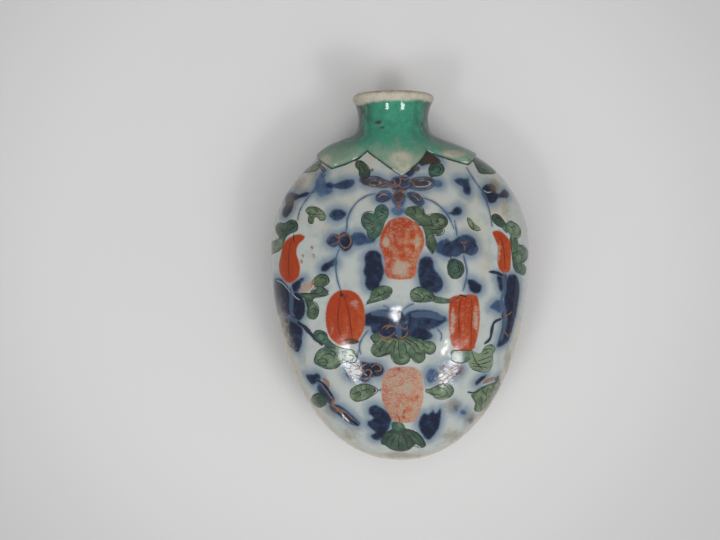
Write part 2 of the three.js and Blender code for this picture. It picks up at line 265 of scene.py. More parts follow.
    (0.33, 0.12, [[(469.3, 350.7), (474.3, 351.4), (480.3, 353.1), (484.3, 347.1), (491.4,
     344.9), (494.7, 348.6), (493.1, 354.3), (492.1, 362.9), (489.7, 368.6), (482.9, 371.4),
     (475.7, 371), (470, 367.4), (467.9, 361.4)]], [[(471.4, 350.7), (475.7, 361.4), (482.9,
     370)], [(484.3, 346.7), (491.4, 344.6), (495.1, 348.6), (493.1, 354.3)], [(484.3, 350.3),
     (490, 348.6), (492.9, 351)], [(483.6, 354.3), (488.9, 352.3)], [(492.4, 355.7), (492.9,
     362.9), (488.6, 370.9), (481.4, 371.9), (471.4, 369.3)], [(471.4, 362.9), (478.6, 364.4),
     (485.7, 362.9), (491.7, 360)], [(472.9, 366), (480, 366.7), (487.4, 367.3)], [(477.1, 361.4),
     (484.3, 358.9), (491.7, 356)]]),
    (0.7, 0.36, [[(350, 395.7), (350.7, 390), (355.7, 385.7), (362.9, 384), (370, 385), (374.3,
     387.9), (377.1, 390.3), (373.6, 394.3), (367.1, 399.3), (358.6, 401.4), (352.9, 400)]],
     [[(350, 395.7), (350.7, 390), (356.4, 385.7), (364.3, 384), (371.4, 385.4), (378, 390.3),
     (371.4, 396.4), (362.9, 400.3), (355.7, 401.4), (350.7, 398), (350, 396)], [(352.1, 394.3),
     (361.4, 390.9), (370.7, 388.6)], [(357.1, 392.1), (355.1, 388.6)], [(361.4, 390.7), (360.7,
     386.6)], [(365.7, 389.6), (366.6, 385.7)], [(360, 391.4), (360.9, 395.7)], [(365, 390), (368,
     393.6)], [(371.4, 386.6), (375.1, 389.4), (372.9, 392.9)]]),
    (0.55, 0.34, [[(425, 390), (430, 388.6), (435.7, 386.4), (441.4, 384.3), (448.6, 384.3),
     (452.9, 387.9), (453.1, 392.9), (449.3, 397.1), (442.9, 399.3), (435.7, 397.9), (430, 394.3),
     (425.7, 392.9)]], [[(424.3, 388.6), (429.3, 389.4), (434.3, 387.1), (440.7, 384.3), (448.6,
     384), (453.3, 388.6), (452.9, 393.6), (448.6, 397.9), (440.7, 399.7), (432.9, 397.1)],
     [(435.7, 387.1), (442.9, 388.6), (447.3, 391.4), (445.7, 395.7), (440, 397.3)], [(428.6,
     391.7), (434.3, 394.3), (441.4, 394.4)], [(442.9, 384.3), (447.4, 386.6), (449.6, 390.3)]]),
    (0, 0.5, [[(391.4, 423.1), (397.1, 421.4), (402.9, 423.1), (405.3, 428.9), (400, 433.6),
     (393.6, 432.1)]], []),
    (0.4, 0.84, [[(385.7, 432.9), (391.4, 429.3), (402.9, 428.3), (412.9, 430), (420, 434.3),
     (425, 441.4), (425.7, 446.4), (421.4, 447.9), (417.1, 444.3), (412.9, 446.4), (408.6, 450),
     (400, 451.1), (391.4, 449.3), (385.7, 445.7), (381.4, 444.3), (380.7, 438.6)]], [[(402.9,
     430), (411.4, 430), (418.6, 434.3), (424.3, 441.4), (425.9, 446.6)], [(398.6, 431.4), (391.4,
     435.7), (384.3, 441.4)], [(398.6, 432.1), (392.9, 440), (390, 447.4)], [(399.3, 432.1),
     (398.6, 441.4), (398.6, 450.3)], [(400.7, 431.4), (405.7, 440), (408.6, 449.4)], [(402.1,
     430.7), (410, 437.1), (414.3, 444.6)], [(402.9, 430), (414.3, 435.7), (421.4, 444.6)],
     [(385.7, 445.7), (391.4, 449.4), (400, 451.3), (408.6, 449.9), (413.6, 445.9), (418.6,
     447.6), (422.9, 448)], [(417.1, 443.1), (418.6, 447.1)]]),
    (0.4, 0.8, [[(310.7, 400), (314.3, 394.3), (318.6, 392.9), (323.6, 394.3), (327.4, 400),
     (325.7, 405), (320, 407.4), (314.3, 405.7)]], [[(310.7, 400), (313.6, 395), (319.3, 392.6)],
     [(314.3, 405.7), (320, 407.6), (325.7, 404.6)], [(315.7, 400.3), (320, 397.1), (323.1, 400)],
     [(317.1, 404.3), (321.4, 400.3)]]),
    (0.72, 0.45, [[(471.2, 393.8), (480, 388.8), (490, 383.8), (498.8, 381.2), (500.6, 385),
     (497.5, 392.5), (491.2, 401.2), (483.8, 408.8), (478.8, 412.5), (473.8, 410), (475, 403.8),
     (472.5, 398.8)]], [[(472.5, 393.8), (480, 390.2), (488.8, 385)], [(482.5, 390), (486.2, 395),
     (491.5, 396.5)], [(488.8, 387.5), (486.2, 392.5), (486.9, 401.5)], [(493.8, 385), (491.2,
     390), (492.8, 395)], [(480, 396.2), (482.5, 402.5), (480, 410.2)], [(498.8, 382.5), (496.9,
     390), (491.2, 400.2)]]),
    (0.8, 0.42, [[(303.1, 172.2), (308.7, 167.8), (315.3, 162.8), (318.7, 160.6), (319.4, 166.7),
     (317.6, 170.6), (314.2, 171.7), (309.8, 171.8), (305.3, 173.1)]], [[(303.7, 172.4), (308.7,
     168.3), (314.2, 164.4)], [(318.7, 160.6), (319.9, 166.7), (318.1, 170.2)], [(305.9, 172.8),
     (310.9, 172.1), (316.4, 170.7)], [(310.9, 170.2), (315.3, 165.8)]]),
    (0.2, 0.86, [[(471.7, 154.4), (476.1, 155.6), (482.8, 160), (489.4, 165.6), (495.6, 171.1),
     (495, 173.9), (488.3, 174.4), (480.6, 173.9), (477.2, 170), (473.9, 163.3)]], [[(472.2,
     156.7), (476.1, 166.7), (479.4, 173.6)], [(475, 162.2), (482.8, 168.3), (490.6, 173)],
     [(471.7, 154.7), (482.8, 160.2), (491.7, 166.9)]]),
    (0.03, 0.82, [[(446.9, 267.1), (447.9, 261.4), (452.1, 258.3), (457.1, 259.3), (462.9,
     262.9), (464.3, 269.3), (462.1, 275), (457.1, 278.6), (452.1, 278.3), (447.9, 274.3)]],
     [[(450.3, 254.3), (451.4, 260), (455.7, 262.9)], [(449.3, 274.3), (452.9, 278.7), (458.6,
     278.1), (463.6, 273.1), (464.6, 266)], [(451.4, 268.6), (454.3, 265.7), (458.6, 267.1),
     (459.4, 271.4), (455, 273.7), (451.4, 271.7)], [(454.3, 270.1), (457.4, 268.7)], [(455.7,
     262.9), (460, 265.1), (461.6, 270.3)], [(452.9, 260), (450, 262.9), (448.6, 267.4)]]),
]

# Blue washes under the glaze: depth (0 pale, 1 navy) and outlines.
WASHES = [
    (0.66, [[(358.9, 180), (361.4, 177.1), (368.6, 176.4), (377.1, 176.4), (384.3, 179.3),
     (391.4, 182.1), (392.9, 185), (385.7, 187.9), (377.1, 187.1), (368.6, 185.7), (362.9,
     183.6)], [(375, 197.9), (377.1, 193.6), (384.3, 191.4), (391.4, 192.9), (391.4, 197.9),
     (385.7, 201.4), (378.6, 202.1)], [(405.7, 193.6), (412.9, 192.1), (420, 196.4), (423.6,
     202.1), (421.4, 205.7), (415.7, 204.3), (410, 199.3)], [(391.4, 195), (398.6, 193.6), (405.7,
     195), (405, 202.1), (400, 207.1), (395.7, 206.4), (392.1, 201.4)]]),
    (0.58, [[(405.7, 183.6), (411.4, 178.6), (420, 177.1), (428.6, 177.1), (434.3, 180), (435,
     183.6), (431.4, 187.1), (422.9, 190), (414.3, 190), (407.1, 187.9)]]),
    (0.4, [[(433.6, 180.4), (439.3, 180), (442.9, 183.6), (440.7, 187.1), (434.3, 186.4)], [(315,
     183.6), (318.6, 176.4), (322.9, 170.7), (326.4, 170.7), (325, 179.3), (328.6, 185), (332.9,
     190.7), (327.1, 195), (320, 196.4), (315.7, 190.7)], [(325.9, 173.3), (324.2, 180), (319.8,
     187.8), (315.3, 192.2), (310.9, 193.3), (315.3, 185.6), (319.8, 176.7)], [(391.4, 209.3),
     (398.6, 206.4), (405.7, 209.3), (402.9, 213.6), (398.6, 215.7), (393.6, 213.6)]]),
    (0.8, [[(391.4, 179.3), (398.6, 176.4), (408.6, 177.9), (410, 185), (405.7, 190.7), (397.1,
     191.4), (391.4, 187.9)], [(329.3, 214.3), (332.9, 210), (338.6, 209), (345, 211.4), (345.7,
     215.7), (341.4, 219.3), (335.7, 220.7), (330.7, 217.9)]]),
    (0.94, [[(405, 174.3), (407.1, 170.7), (412.9, 167.9), (414.6, 172.4), (410, 176.7)]]),
    (0.8, [[(324.3, 185), (328.6, 182.1), (335.7, 183.6), (341.4, 180.7), (348.6, 179.3), (354.3,
     180), (353.6, 185), (348.6, 188.6), (341.4, 189.3), (334.3, 187.9), (328.6, 190), (325,
     187.9)]]),
    (1, [[(326, 186.1), (330, 182.7), (334, 185.9), (330, 188.7)], [(335.7, 185.7), (339.3,
     182.1), (343.3, 185), (339.7, 188.1)], [(343.7, 185), (348.3, 180.4), (353.1, 182.7), (349.3,
     187.6)]]),
    (0.84, [[(454.3, 180.7), (458.6, 177.9), (464.3, 178.6), (469.3, 177.9), (468.9, 182.1),
     (470.7, 187.9), (470.7, 193.6), (466.4, 195), (462.9, 191.4), (462.9, 187.1), (458.6,
     185)]]),
    (1, [[(482.8, 186.7), (487.2, 184.4), (492.8, 184.4), (496.1, 187.8), (495.6, 192.2), (499.4,
     193.9), (502.8, 189.8), (506.1, 190), (508.9, 194.4), (507.2, 197.8), (502.8, 197.8), (498.3,
     197.8), (495, 202.2), (490.6, 203.3), (486.1, 201.1), (482.8, 196.7), (481.1, 192.2)]]),
    (0.9, [[(445.7, 211.4), (450, 212.4), (455, 207.9), (459.3, 206.4), (462.1, 210), (460.7,
     214.3), (455.7, 215.7), (451.4, 214.6), (447.1, 213.6)]]),
    (1, [[(282.6, 213.3), (283.1, 208.9), (285.9, 204.4), (285.3, 197.8), (287.6, 193.3), (292,
     192.2), (298.7, 194.4), (306.4, 192.2), (309.8, 192.8), (307.6, 195.6), (299.8, 198.3),
     (294.2, 201.1), (293.1, 206.7), (290.9, 212.2), (286.4, 217.2), (283.1, 216.1)]]),
    (0.86, [[(326.4, 241.4), (329.3, 235.7), (335, 233.6), (339.3, 235.7), (339.3, 242.9), (335,
     247.1), (329.3, 245.7)]]),
    (0.93, [[(338.6, 237.1), (342.9, 232.1), (348.6, 233.6), (352.9, 240), (351.4, 247.1),
     (345.7, 251.4), (340.7, 248.6), (337.9, 242.9)], [(370, 236.9), (375.7, 238.6), (374, 242.6),
     (370, 241.4)]]),
    (0.64, [[(351.4, 235.7), (357.1, 232.1), (362.9, 232.9), (368.6, 237.1), (375, 239.3),
     (371.4, 242.9), (364.3, 244.3), (357.1, 245.7), (352.1, 242.9)]]),
    (0.7, [[(435, 245.7), (439.3, 241.4), (447.1, 238.6), (450, 242.9), (448.6, 250), (442.9,
     254.3), (436.4, 252.1)], [(464.3, 244.3), (470, 240), (476.4, 244.3), (477.9, 250), (472.9,
     255), (467.1, 253.6)]]),
    (0.76, [[(448.6, 244.3), (455.7, 241.4), (462.9, 242.9), (464.3, 248.6), (460, 255), (454.3,
     257.1), (449.3, 252.9)], [(458.6, 238.6), (462.1, 235), (467.9, 235.7), (469.3, 240), (464.3,
     242.9), (460, 242.1)]]),
    (0.97, [[(365, 262.9), (364.3, 257.1), (367.1, 252.1), (372.1, 250.3), (377.9, 251.4),
     (381.4, 256.4), (382.1, 264.3), (384.3, 270), (382.9, 277.1), (380, 282.9), (379.3, 288.6),
     (374.3, 291.4), (367.9, 289.3), (365, 284.3), (365.7, 277.9), (363.6, 271.4), (365,
     267.1)]]),
    (0.88, [[(418.6, 267.1), (420, 260), (424.3, 256.7), (430, 257.1), (433.6, 261.4), (434.3,
     268.6), (438.6, 274.3), (442.9, 281.4), (442.1, 288.6), (437.1, 292.9), (428.6, 291.4),
     (421.4, 287.1), (419.3, 280), (417.9, 272.9)]]),
    (0.97, [[(320.7, 267.1), (324.3, 263.6), (330.7, 260.7), (335, 257.9), (337.4, 261.4),
     (336.4, 265.7), (330.7, 267.1), (327.1, 271.4), (322.1, 271.4)], [(467.1, 280), (471.4,
     279.3), (477.1, 282.1), (481.4, 285.7), (480.7, 291.4), (475.7, 293.6), (470.7, 291.4),
     (468.6, 285.7)]]),
    (0.96, [[(355, 317.9), (361.4, 317.1), (368.6, 312.9), (377.1, 310.3), (385.7, 309.3),
     (397.1, 309.3), (404.3, 314.3), (405.7, 321.4), (400, 324.3), (391.4, 323.6), (380, 325.7),
     (368.6, 326.4), (360, 323.6)]]),
    (0.84, [[(405.7, 314.3), (411.4, 310.7), (421.4, 309.7), (431.4, 310.7), (440, 314.3),
     (447.9, 319.3), (442.9, 322.9), (437.1, 327.1), (427.1, 329.3), (417.1, 327.1), (407.1,
     322.9)]]),
    (0.9, [[(371.4, 325.7), (380, 324.3), (394.3, 322.9), (408.6, 322.9), (422.9, 327.1), (431.4,
     332.9), (432.1, 337.9), (425.7, 340.7), (418.6, 341.4), (411.4, 338.6), (404.3, 340.7),
     (398.6, 339.3), (391.4, 340.7), (384.3, 337.1), (377.1, 335.7), (372.1, 332.1)]]),
    (0.96, [[(275.1, 278.8), (280.8, 278.8), (285.8, 283.8), (290.1, 291.2), (292.6, 298.8),
     (292, 307.5), (290.8, 313.8), (284.5, 316.2), (278.2, 315), (276.4, 307.5), (274.5, 295),
     (273.9, 285)]]),
    (1, [[(292, 293.8), (298.2, 292.5), (303.2, 298.8), (305.1, 306.2), (304.5, 313.8), (300.8,
     320), (294.5, 322.5), (290.8, 317.5), (292, 307.5)], [(292.6, 283.8), (298.2, 280), (304.5,
     278.1), (300.8, 283.8), (299.5, 288.8), (294.5, 292.5), (292, 288.8)]]),
    (0.92, [[(280.8, 317.5), (290.8, 318.8), (299.5, 322.5), (302.6, 330), (302, 340), (300.8,
     347.5), (297.6, 351.9), (290.8, 347.5), (285.8, 340), (282.6, 330)]]),
    (0.95, [[(508.8, 275), (515, 275), (518.8, 281.2), (519.4, 291.2), (518.1, 302.5), (516.2,
     313.8), (512.5, 328.8), (508.8, 340), (503.8, 345), (496.9, 346.9), (498.8, 338.8), (501.2,
     330), (502.5, 320), (501.2, 313.8), (503.8, 307.5), (503.8, 295), (506.2, 283.8)]]),
    (1, [[(496.9, 275), (506.5, 275), (505, 286.2), (501.5, 292.8), (498.8, 286.2)]]),
    (0.6, [[(490, 307.5), (495, 301.2), (501.2, 300), (504, 306.2), (500, 312.8), (495, 310)]]),
    (0.92, [[(345.7, 371.4), (349.3, 367.1), (352.9, 362.9), (360, 361.4), (368.6, 362.9),
     (377.1, 362.9), (382.9, 366.4), (383.6, 372.1), (380, 376.4), (371.4, 377.1), (368.6, 381.4),
     (364.3, 382.1), (357.1, 378.6), (350, 378.6), (346.4, 375.7)]]),
    (0.45, [[(427.1, 371.4), (432.9, 368.6), (438.6, 372.9), (437.1, 380), (430, 382.9), (426.4,
     378.6)]]),
    (0.95, [[(368.6, 411.4), (370, 407.1), (375.7, 405), (381.4, 407.9), (388.6, 412.9), (391.4,
     420), (388.6, 428.6), (384.3, 435.7), (378.6, 440), (372.9, 438.9), (371.4, 435), (375.7,
     432.1), (368.6, 426.4), (367.4, 422.1), (371.4, 420), (373.6, 417.1), (368.6, 413.6)]]),
    (0.93, [[(418.6, 425.7), (420, 418.6), (424.3, 412.9), (428.6, 414.3), (432.9, 410), (435.7,
     412.9), (440.7, 408.6), (440.7, 417.1), (439.3, 425.7), (435.7, 432.9), (430, 439.3), (425.7,
     438.6), (421.4, 432.9)]]),
    (0.92, [[(305.8, 375), (312, 374.4), (318.2, 373.8), (320.8, 378.8), (317, 382.5), (312,
     384.4), (308.2, 380)], [(475, 382.5), (480, 377.5), (486.9, 374.8), (484.4, 379), (480,
     382.5), (477.5, 385.6)]]),
    (1, [[(494.8, 378.8), (498.8, 375.6), (501.5, 378.8), (498.8, 382.8), (495.6, 381.2)]]),
    (0.5, [[(452.9, 407.1), (455.7, 404.3), (458.6, 407.1), (456.4, 411.4)], [(460, 411.4),
     (464.3, 410), (466.4, 412.9), (462.9, 415)], [(467.9, 420), (471.4, 417.9), (473.6, 420),
     (470.7, 422.9)]]),
    (0.84, [[(436, 246), (444, 240), (452, 241), (458, 237), (466, 234.5), (474, 238),
             (477, 245), (475, 252), (466, 254), (458, 252.5), (450, 257), (442, 255)]]),
    (1.0, [[(420, 159), (424, 153.5), (428, 152), (433, 154.5), (438, 158), (441, 161.5),
            (436, 163.5), (428, 164), (422, 166), (418.5, 163.5)]]),
    (0.85, [[(320, 384), (328, 390), (334.5, 399), (330, 404), (324, 398), (317, 389)],
            [(330, 404), (340, 405.5), (350, 413), (360, 424), (352, 425), (341, 417),
             (331, 410)]]),
    (0.7, [[(441, 366), (449, 363), (458, 364), (463, 369), (459, 375), (450, 377), (443, 373)]]),
]

# Iron-red fruit: paleness, outline and ribs.
FRUITS = [
    (0.38, [(398.6, 217.3), (390, 220), (384, 227), (380.5, 236), (379.4, 245), (382, 253),
     (384.6, 262), (384.8, 271), (387, 277.5), (395, 279.6), (405, 279.6), (413, 278.6), (416.4,
     272), (417.4, 262), (420.6, 254), (424, 246), (424.4, 238), (421, 228), (414, 221), (406,
     217.3)], []),
    (0.12, oval(345.3, 317.5, 19.9, 27.8, 0, 2.3), [[(340.7, 294.3), (338.6, 308.6), (337.9,
     321.4), (339.3, 331.4), (343.6, 341.4)], [(343.6, 295.7), (347.9, 308.6), (350, 321.4),
     (351.7, 332.9), (352.1, 341.4)]]),
    (0.22, [(449.4, 301), (453, 296.4), (462, 294.6), (475.6, 295), (479, 303), (480, 315), (479,
     330), (476, 343), (473, 350), (462, 351), (455, 349.4), (450.4, 340), (448.6, 320)],
     [[(461.4, 297.1), (459.3, 308.6), (458.9, 322.9), (459.3, 335.7), (458.6, 348.6)], [(471.4,
     297.1), (472.1, 311.4), (471.4, 325.7), (471.4, 337.1), (470.7, 349.3)]]),
    (0.62, [(381.4, 387.1), (382.1, 378.6), (385.7, 371.4), (392.9, 367.4), (402.9, 366.4),
     (414.3, 367.1), (420.7, 371.4), (423.1, 378.6), (424, 388.6), (423.6, 398.6), (420.7, 408.6),
     (417.9, 417.1), (412.9, 422.1), (400, 422.9), (392.9, 420), (387.1, 411.4), (382.1, 401.4)],
     [[(392.1, 411.4), (398.6, 416.9), (400, 422.1)], [(406.4, 408.6), (403.1, 414.3), (404.6,
     418.9)], [(393.6, 370.3), (400, 369), (398.6, 373.1)]]),
    (0.05, [(278.7, 265.6), (280.9, 253.3), (283.1, 244.4), (287.6, 238.9), (293.1, 235.6),
     (298.7, 233.9), (304.8, 236.1), (304.2, 239.4), (298.7, 244.4), (296.4, 252.2), (298.7, 260),
     (300.3, 266.7), (299.2, 275.6), (294.2, 281.1), (288.7, 283.3), (283.1, 278.9), (279.8,
     273.3)], [[(291.4, 239.4), (289.4, 248.9), (288.7, 260), (288.7, 271.1), (289.8, 280)]]),
    (0.15, [(492.2, 232.2), (495, 230.6), (500.6, 231.1), (507.2, 236.7), (510.6, 242.2), (511.1,
     250), (511.1, 261.1), (510, 270), (506.1, 273.3), (500.6, 271.1), (497.8, 265.6), (497.2,
     256.7), (497.2, 245.6), (493.9, 237.8)], [[(499.4, 235.6), (502.8, 244.4), (504.4, 255.6),
     (505, 270)]]),
    (0.75, [(300.1, 290), (302, 285), (305.8, 283.1), (310.1, 282.5), (313.9, 279.4), (314.5,
     281.9), (312, 287.5), (308.9, 290.6), (304.5, 291.9)], []),
]

# Brush lines: kind, half width in mm, and runs.
LINES = [
    (VINE, 0.17, [[(375.7, 193.6), (367.1, 195.7), (357.1, 202.1), (350, 212.1), (347.1, 222.1),
     (346.6, 230.7)], [(347.1, 217.1), (346.9, 225.7), (346, 232.1)], [(339.3, 248.6), (336.4,
     257.1), (335.7, 267.1), (337.4, 280), (341, 291.4)], [(422.9, 197.9), (432.9, 201.4), (442.9,
     209.3), (450, 219.3), (454.3, 229.3)], [(454.3, 220), (456, 228.6), (457.1, 235.7)], [(463.6,
     255), (465.7, 262.9), (466.9, 271.4), (465.7, 281.4), (462.9, 291.4)], [(314.2, 190), (308.7,
     196.7), (303.1, 204.4), (299.2, 212.2), (297.6, 220.6)], [(466.1, 166.7), (470.6, 174.4),
     (475.6, 182.2), (480.6, 188.9), (485, 197.8), (488.3, 206.7), (490.6, 216.7), (492.3,
     226.7)], [(368.6, 330), (362.9, 337.1), (359.3, 345.7), (360.7, 354.3)], [(328.6, 291.4),
     (324.3, 288.6), (322.9, 285.7)]]),
    (VINE, 0.13, [[(382.9, 305.7), (387.1, 307.1), (391.4, 310.7)], [(414.3, 303.6), (408.6,
     305.7), (402.9, 310)], [(384.3, 388.6), (380, 390), (377.9, 390.3)], [(467.1, 325.7), (472.9,
     320), (477.1, 311.4)], [(360, 345.7), (357.1, 357.1), (356.4, 362.9)], [(463.3, 256.7),
     (466.1, 267.8), (467, 276.7)], [(437.1, 328.6), (441.4, 334.3), (440.7, 341.4)]]),
    (INK, 0.16, [[(341, 290.7), (340.7, 293.6), (341.7, 297.4)], [(294, 233.9), (293.6, 237.8),
     (294.2, 242.8)], [(459.3, 295), (464.3, 296), (467.1, 298.6)], [(380, 210.7), (383.6, 212.9),
     (385.7, 214.3)]]),
    (INK, 0.13, [[(365, 152.1), (360, 157.9), (354.3, 161.4)], [(319.8, 161.1), (322.6, 166.7),
     (326.4, 171.1)]]),
    (INK, 0.4, [[(340.7, 295.4), (342.9, 294.6)]]),
    (NAVY, 0.5, [[(344.6, 341.7), (350, 340.7), (357.4, 341.4)]]),
    (NAVY, 0.42, [[(298.2, 322.5), (304.5, 326.9), (310.8, 333.8), (317, 340), (321.8, 344.4)],
     [(342.9, 411.4), (350, 418.6), (357.4, 425)]]),
    (NAVY, 0.3, [[(501.5, 318.8), (494, 322.5), (491.9, 330), (490, 338.8), (484.4, 343.8)],
     [(317, 380), (323.2, 383.8), (328.2, 390), (332, 396.2), (333.9, 401.2)], [(489.4, 271.9),
     (496.2, 272.5), (502.5, 275.2)], [(361.4, 317.4), (357.1, 318.6), (355, 317.4)]]),
    (NAVY, 0.17, [[(467.5, 391.9), (473.8, 392.5), (481.2, 388.1), (488.8, 385), (497.5, 382.5)],
     [(303.9, 278.1), (299.5, 280.6)]]),
    (GOLD, 0.14, [[(381.4, 183.6), (385.7, 181.9), (391.4, 185)], [(380, 187.1), (385.7, 185),
     (392.9, 187.1)], [(391.4, 188.1), (397.1, 185), (402.9, 187.9), (410, 185)], [(400, 177.9),
     (400.3, 183.6), (394.3, 187.9)], [(398.6, 177.1), (404.3, 179.6), (408.9, 178.1)], [(391.4,
     191), (397.1, 192.1), (400, 190), (406, 191.4)], [(392.9, 195), (398.6, 197.9), (404.6,
     195)], [(393.6, 199.3), (398.6, 202.9), (403.1, 198.6)], [(397.1, 203.6), (398.6, 207.9),
     (400.7, 203.6)], [(368.6, 177.9), (377.1, 179.3), (384.3, 183.6)], [(391.4, 179.3), (395.7,
     182.1), (394.3, 185), (391.4, 183.6)], [(408.6, 180.7), (414.3, 182.1), (420, 180)]]),
    (GOLD, 0.12, [[(327.9, 241.4), (330.7, 236.4), (336.4, 234.3), (340, 237.4), (337.1, 242.9),
     (330.7, 244.6)], [(340, 237.4), (344.3, 233.6), (349.3, 235.7), (350.9, 242.9), (346.4, 248),
     (341.4, 245.7), (339.3, 241)], [(334.3, 235.3), (338.6, 238.1), (342.9, 235.7), (347.4,
     235)], [(461.4, 242.1), (465, 243.1), (466.7, 240.7)], [(462.9, 244.3), (465.1, 247.1),
     (464.3, 250.3)], [(460, 241.4), (463.1, 243.9)], [(377.9, 332.1), (380.7, 335.7), (385.7,
     337.4), (391.4, 335.7), (394.6, 332.1)], [(385.7, 329.3), (391.4, 325.7), (398.9, 328.6)],
     [(395, 334.3), (400, 338), (406, 335.7), (408.1, 330)], [(382.1, 328.6), (385.7, 326),
     (391.7, 325)], [(380, 337.4), (385.7, 341), (392.9, 338.9), (398.6, 341), (406, 339.3)],
     [(400, 327.1), (405.7, 329.4), (407.4, 325.7)], [(280.8, 315), (285.8, 317.5), (291, 316.2)],
     [(292, 312.5), (295.4, 316.5)], [(503.8, 316.5), (508.8, 314.4), (512.1, 311.2)], [(505,
     312.5), (506.5, 317.5), (503.8, 321.5)], [(503.8, 330), (506.2, 333.8), (508.4, 336.5)],
     [(352.1, 364.3), (357.1, 366.4), (362.9, 365.7), (367.4, 363.6)], [(354.3, 369.6), (360,
     368.6), (363.7, 372.1), (360, 375.9), (355, 374.3)], [(363.6, 372.1), (368.6, 369.3), (371.6,
     372.1), (369.3, 377.3), (365, 378.7)], [(371.4, 367.1), (375.7, 364.3), (381, 366.4), (380,
     370.9), (374.3, 370.9)], [(361.4, 377.1), (365.7, 380.1), (370.3, 377.1)], [(437.1, 377.4),
     (441.4, 372.1), (447.1, 372), (449.4, 376.4), (444.3, 380.1), (438.3, 380.9)], [(448.6,
     373.1), (452.9, 367.1), (459.3, 365.6), (463.9, 369.3), (461.4, 374.4), (454.3, 375.9),
     (449.3, 375.3)], [(435.7, 380.3), (442.9, 376.4), (451.4, 371.4), (458.6, 367.1)], [(447.9,
     376), (442.9, 382.9), (439.3, 384.6)]]),
    (GOLD, 0.42, [[(323.2, 378.5), (327, 381.9), (328.6, 386.2)], [(483.8, 382.8), (488.8, 380),
     (494.4, 378.1)]]),
    (GOLD, 0.2, [[(331, 396.2), (333.9, 402.2), (332.2, 406.2)], [(332.1, 400), (333.6, 405.7),
     (341.4, 412.9), (348.9, 420.3)]]),
    (BROWN, 0.11, [[(360.7, 179.3), (368.6, 176.4), (377.9, 176.9), (387.1, 181.4), (391.4,
     185)], [(361.1, 182.1), (370, 186), (380, 187.4), (388.9, 186.4)], [(408.6, 183.6), (414.3,
     178.3), (422.9, 176.9), (431.4, 178.3), (435.3, 182.9), (431.4, 187.9), (422.9, 190.7),
     (414.3, 190)], [(375.7, 197.9), (380, 191.9), (388.6, 191.1), (391.7, 195)], [(375.7, 199.3),
     (381.4, 202.4), (388.6, 199.6), (392.1, 196.4)], [(407.1, 192.9), (414.3, 192.1), (421.4,
     197.6), (424.3, 202.9), (420, 206.1), (412.9, 201.4), (407.9, 196.4)], [(450, 245.7), (455.7,
     242.6), (462.4, 244.3), (463.9, 250), (458.6, 255.3), (451.4, 254.6)], [(465.7, 244.3),
     (470.7, 241.1), (476.7, 245.7), (477.4, 251.4), (472.1, 255.3), (466.4, 253.1)]]),
    (PALE, 0.11, [[(368.6, 183.1), (371.4, 180.7), (377.1, 180.4), (381, 182.9), (377.9, 185.1),
     (371.4, 185.1), (368.6, 183.4)], [(412.9, 183.6), (418.6, 180.7), (427.1, 181), (431, 183.6),
     (425.7, 186.3), (417.1, 186.6), (412.9, 183.9)], [(378.6, 197.4), (382.9, 194.3), (387.4,
     195.3)], [(411.4, 195.7), (415.7, 197.1), (418.9, 201)], [(483.7, 190.2), (487.2, 192.4),
     (491.4, 191.9)], [(275.8, 280), (283.2, 283.8), (290.1, 292.5)], [(292, 293.1), (295.8,
     297.5), (299.8, 300)], [(360.7, 372.1), (365, 373.9), (367.1, 376)]]),
    (RIB, 0.15, [[(311.4, 246.1), (312.6, 248.9)], [(313.1, 253.6), (314, 257.4)], [(312.6,
     280.6), (312, 286.2), (309.2, 290)], [(300.9, 260), (302.2, 263.3)], [(302.6, 254.4), (303.3,
     256.9)]]),
    (BROWN, 0.22, [[(320.3, 164.4), (321.4, 168.9), (324.2, 171.7)], [(466.4, 162.9), (468.6,
     163.6), (470.7, 163.3)]]),
    (BROWN, 0.6, [[(421, 160.5), (425, 156.5), (428.5, 154.5), (434, 158), (438.5, 161.5)],
                  [(423, 163.5), (430, 161), (437, 162)]]),
    (VINE, 0.28, [[(290, 287), (291.5, 298), (291, 308), (292, 318)],
                  [(281.5, 315), (289, 317.5), (297, 321.5)],
                  [(503.5, 274), (504.5, 290), (501.5, 300), (505.5, 320), (501, 340)],
                  [(372, 313), (386, 314), (396, 318)], [(412, 315), (428, 314.5), (442, 318.5)],
                  [(398.5, 325), (398.5, 332), (400, 340)]]),
    (GOLD, 0.1, [[(364, 180), (374, 178.5), (388, 183.5)], [(366, 185.5), (377, 187), (388, 185)],
                 [(410, 180), (423, 178.5), (431.5, 182.5)],
                 [(412, 187), (423, 187.5), (431, 186)],
                 [(391, 190), (395, 193.5), (399, 190), (403, 193.5), (407, 190)],
                 [(393, 197), (396, 200), (399, 197), (402, 200), (405, 197)],
                 [(377, 194), (383, 193), (388, 195)], [(411, 195), (417, 195.5), (422, 200)]]),
    (GOLD, 0.13, [[(441, 371), (445, 366.5), (450, 369), (447, 374), (442, 373)],
                  [(450, 370), (455, 365.5), (460, 368), (457, 373), (451, 373)],
                  [(332, 406), (340, 409), (347, 414), (354, 421)],
                  [(322, 386), (328, 393), (332, 400)]]),
]

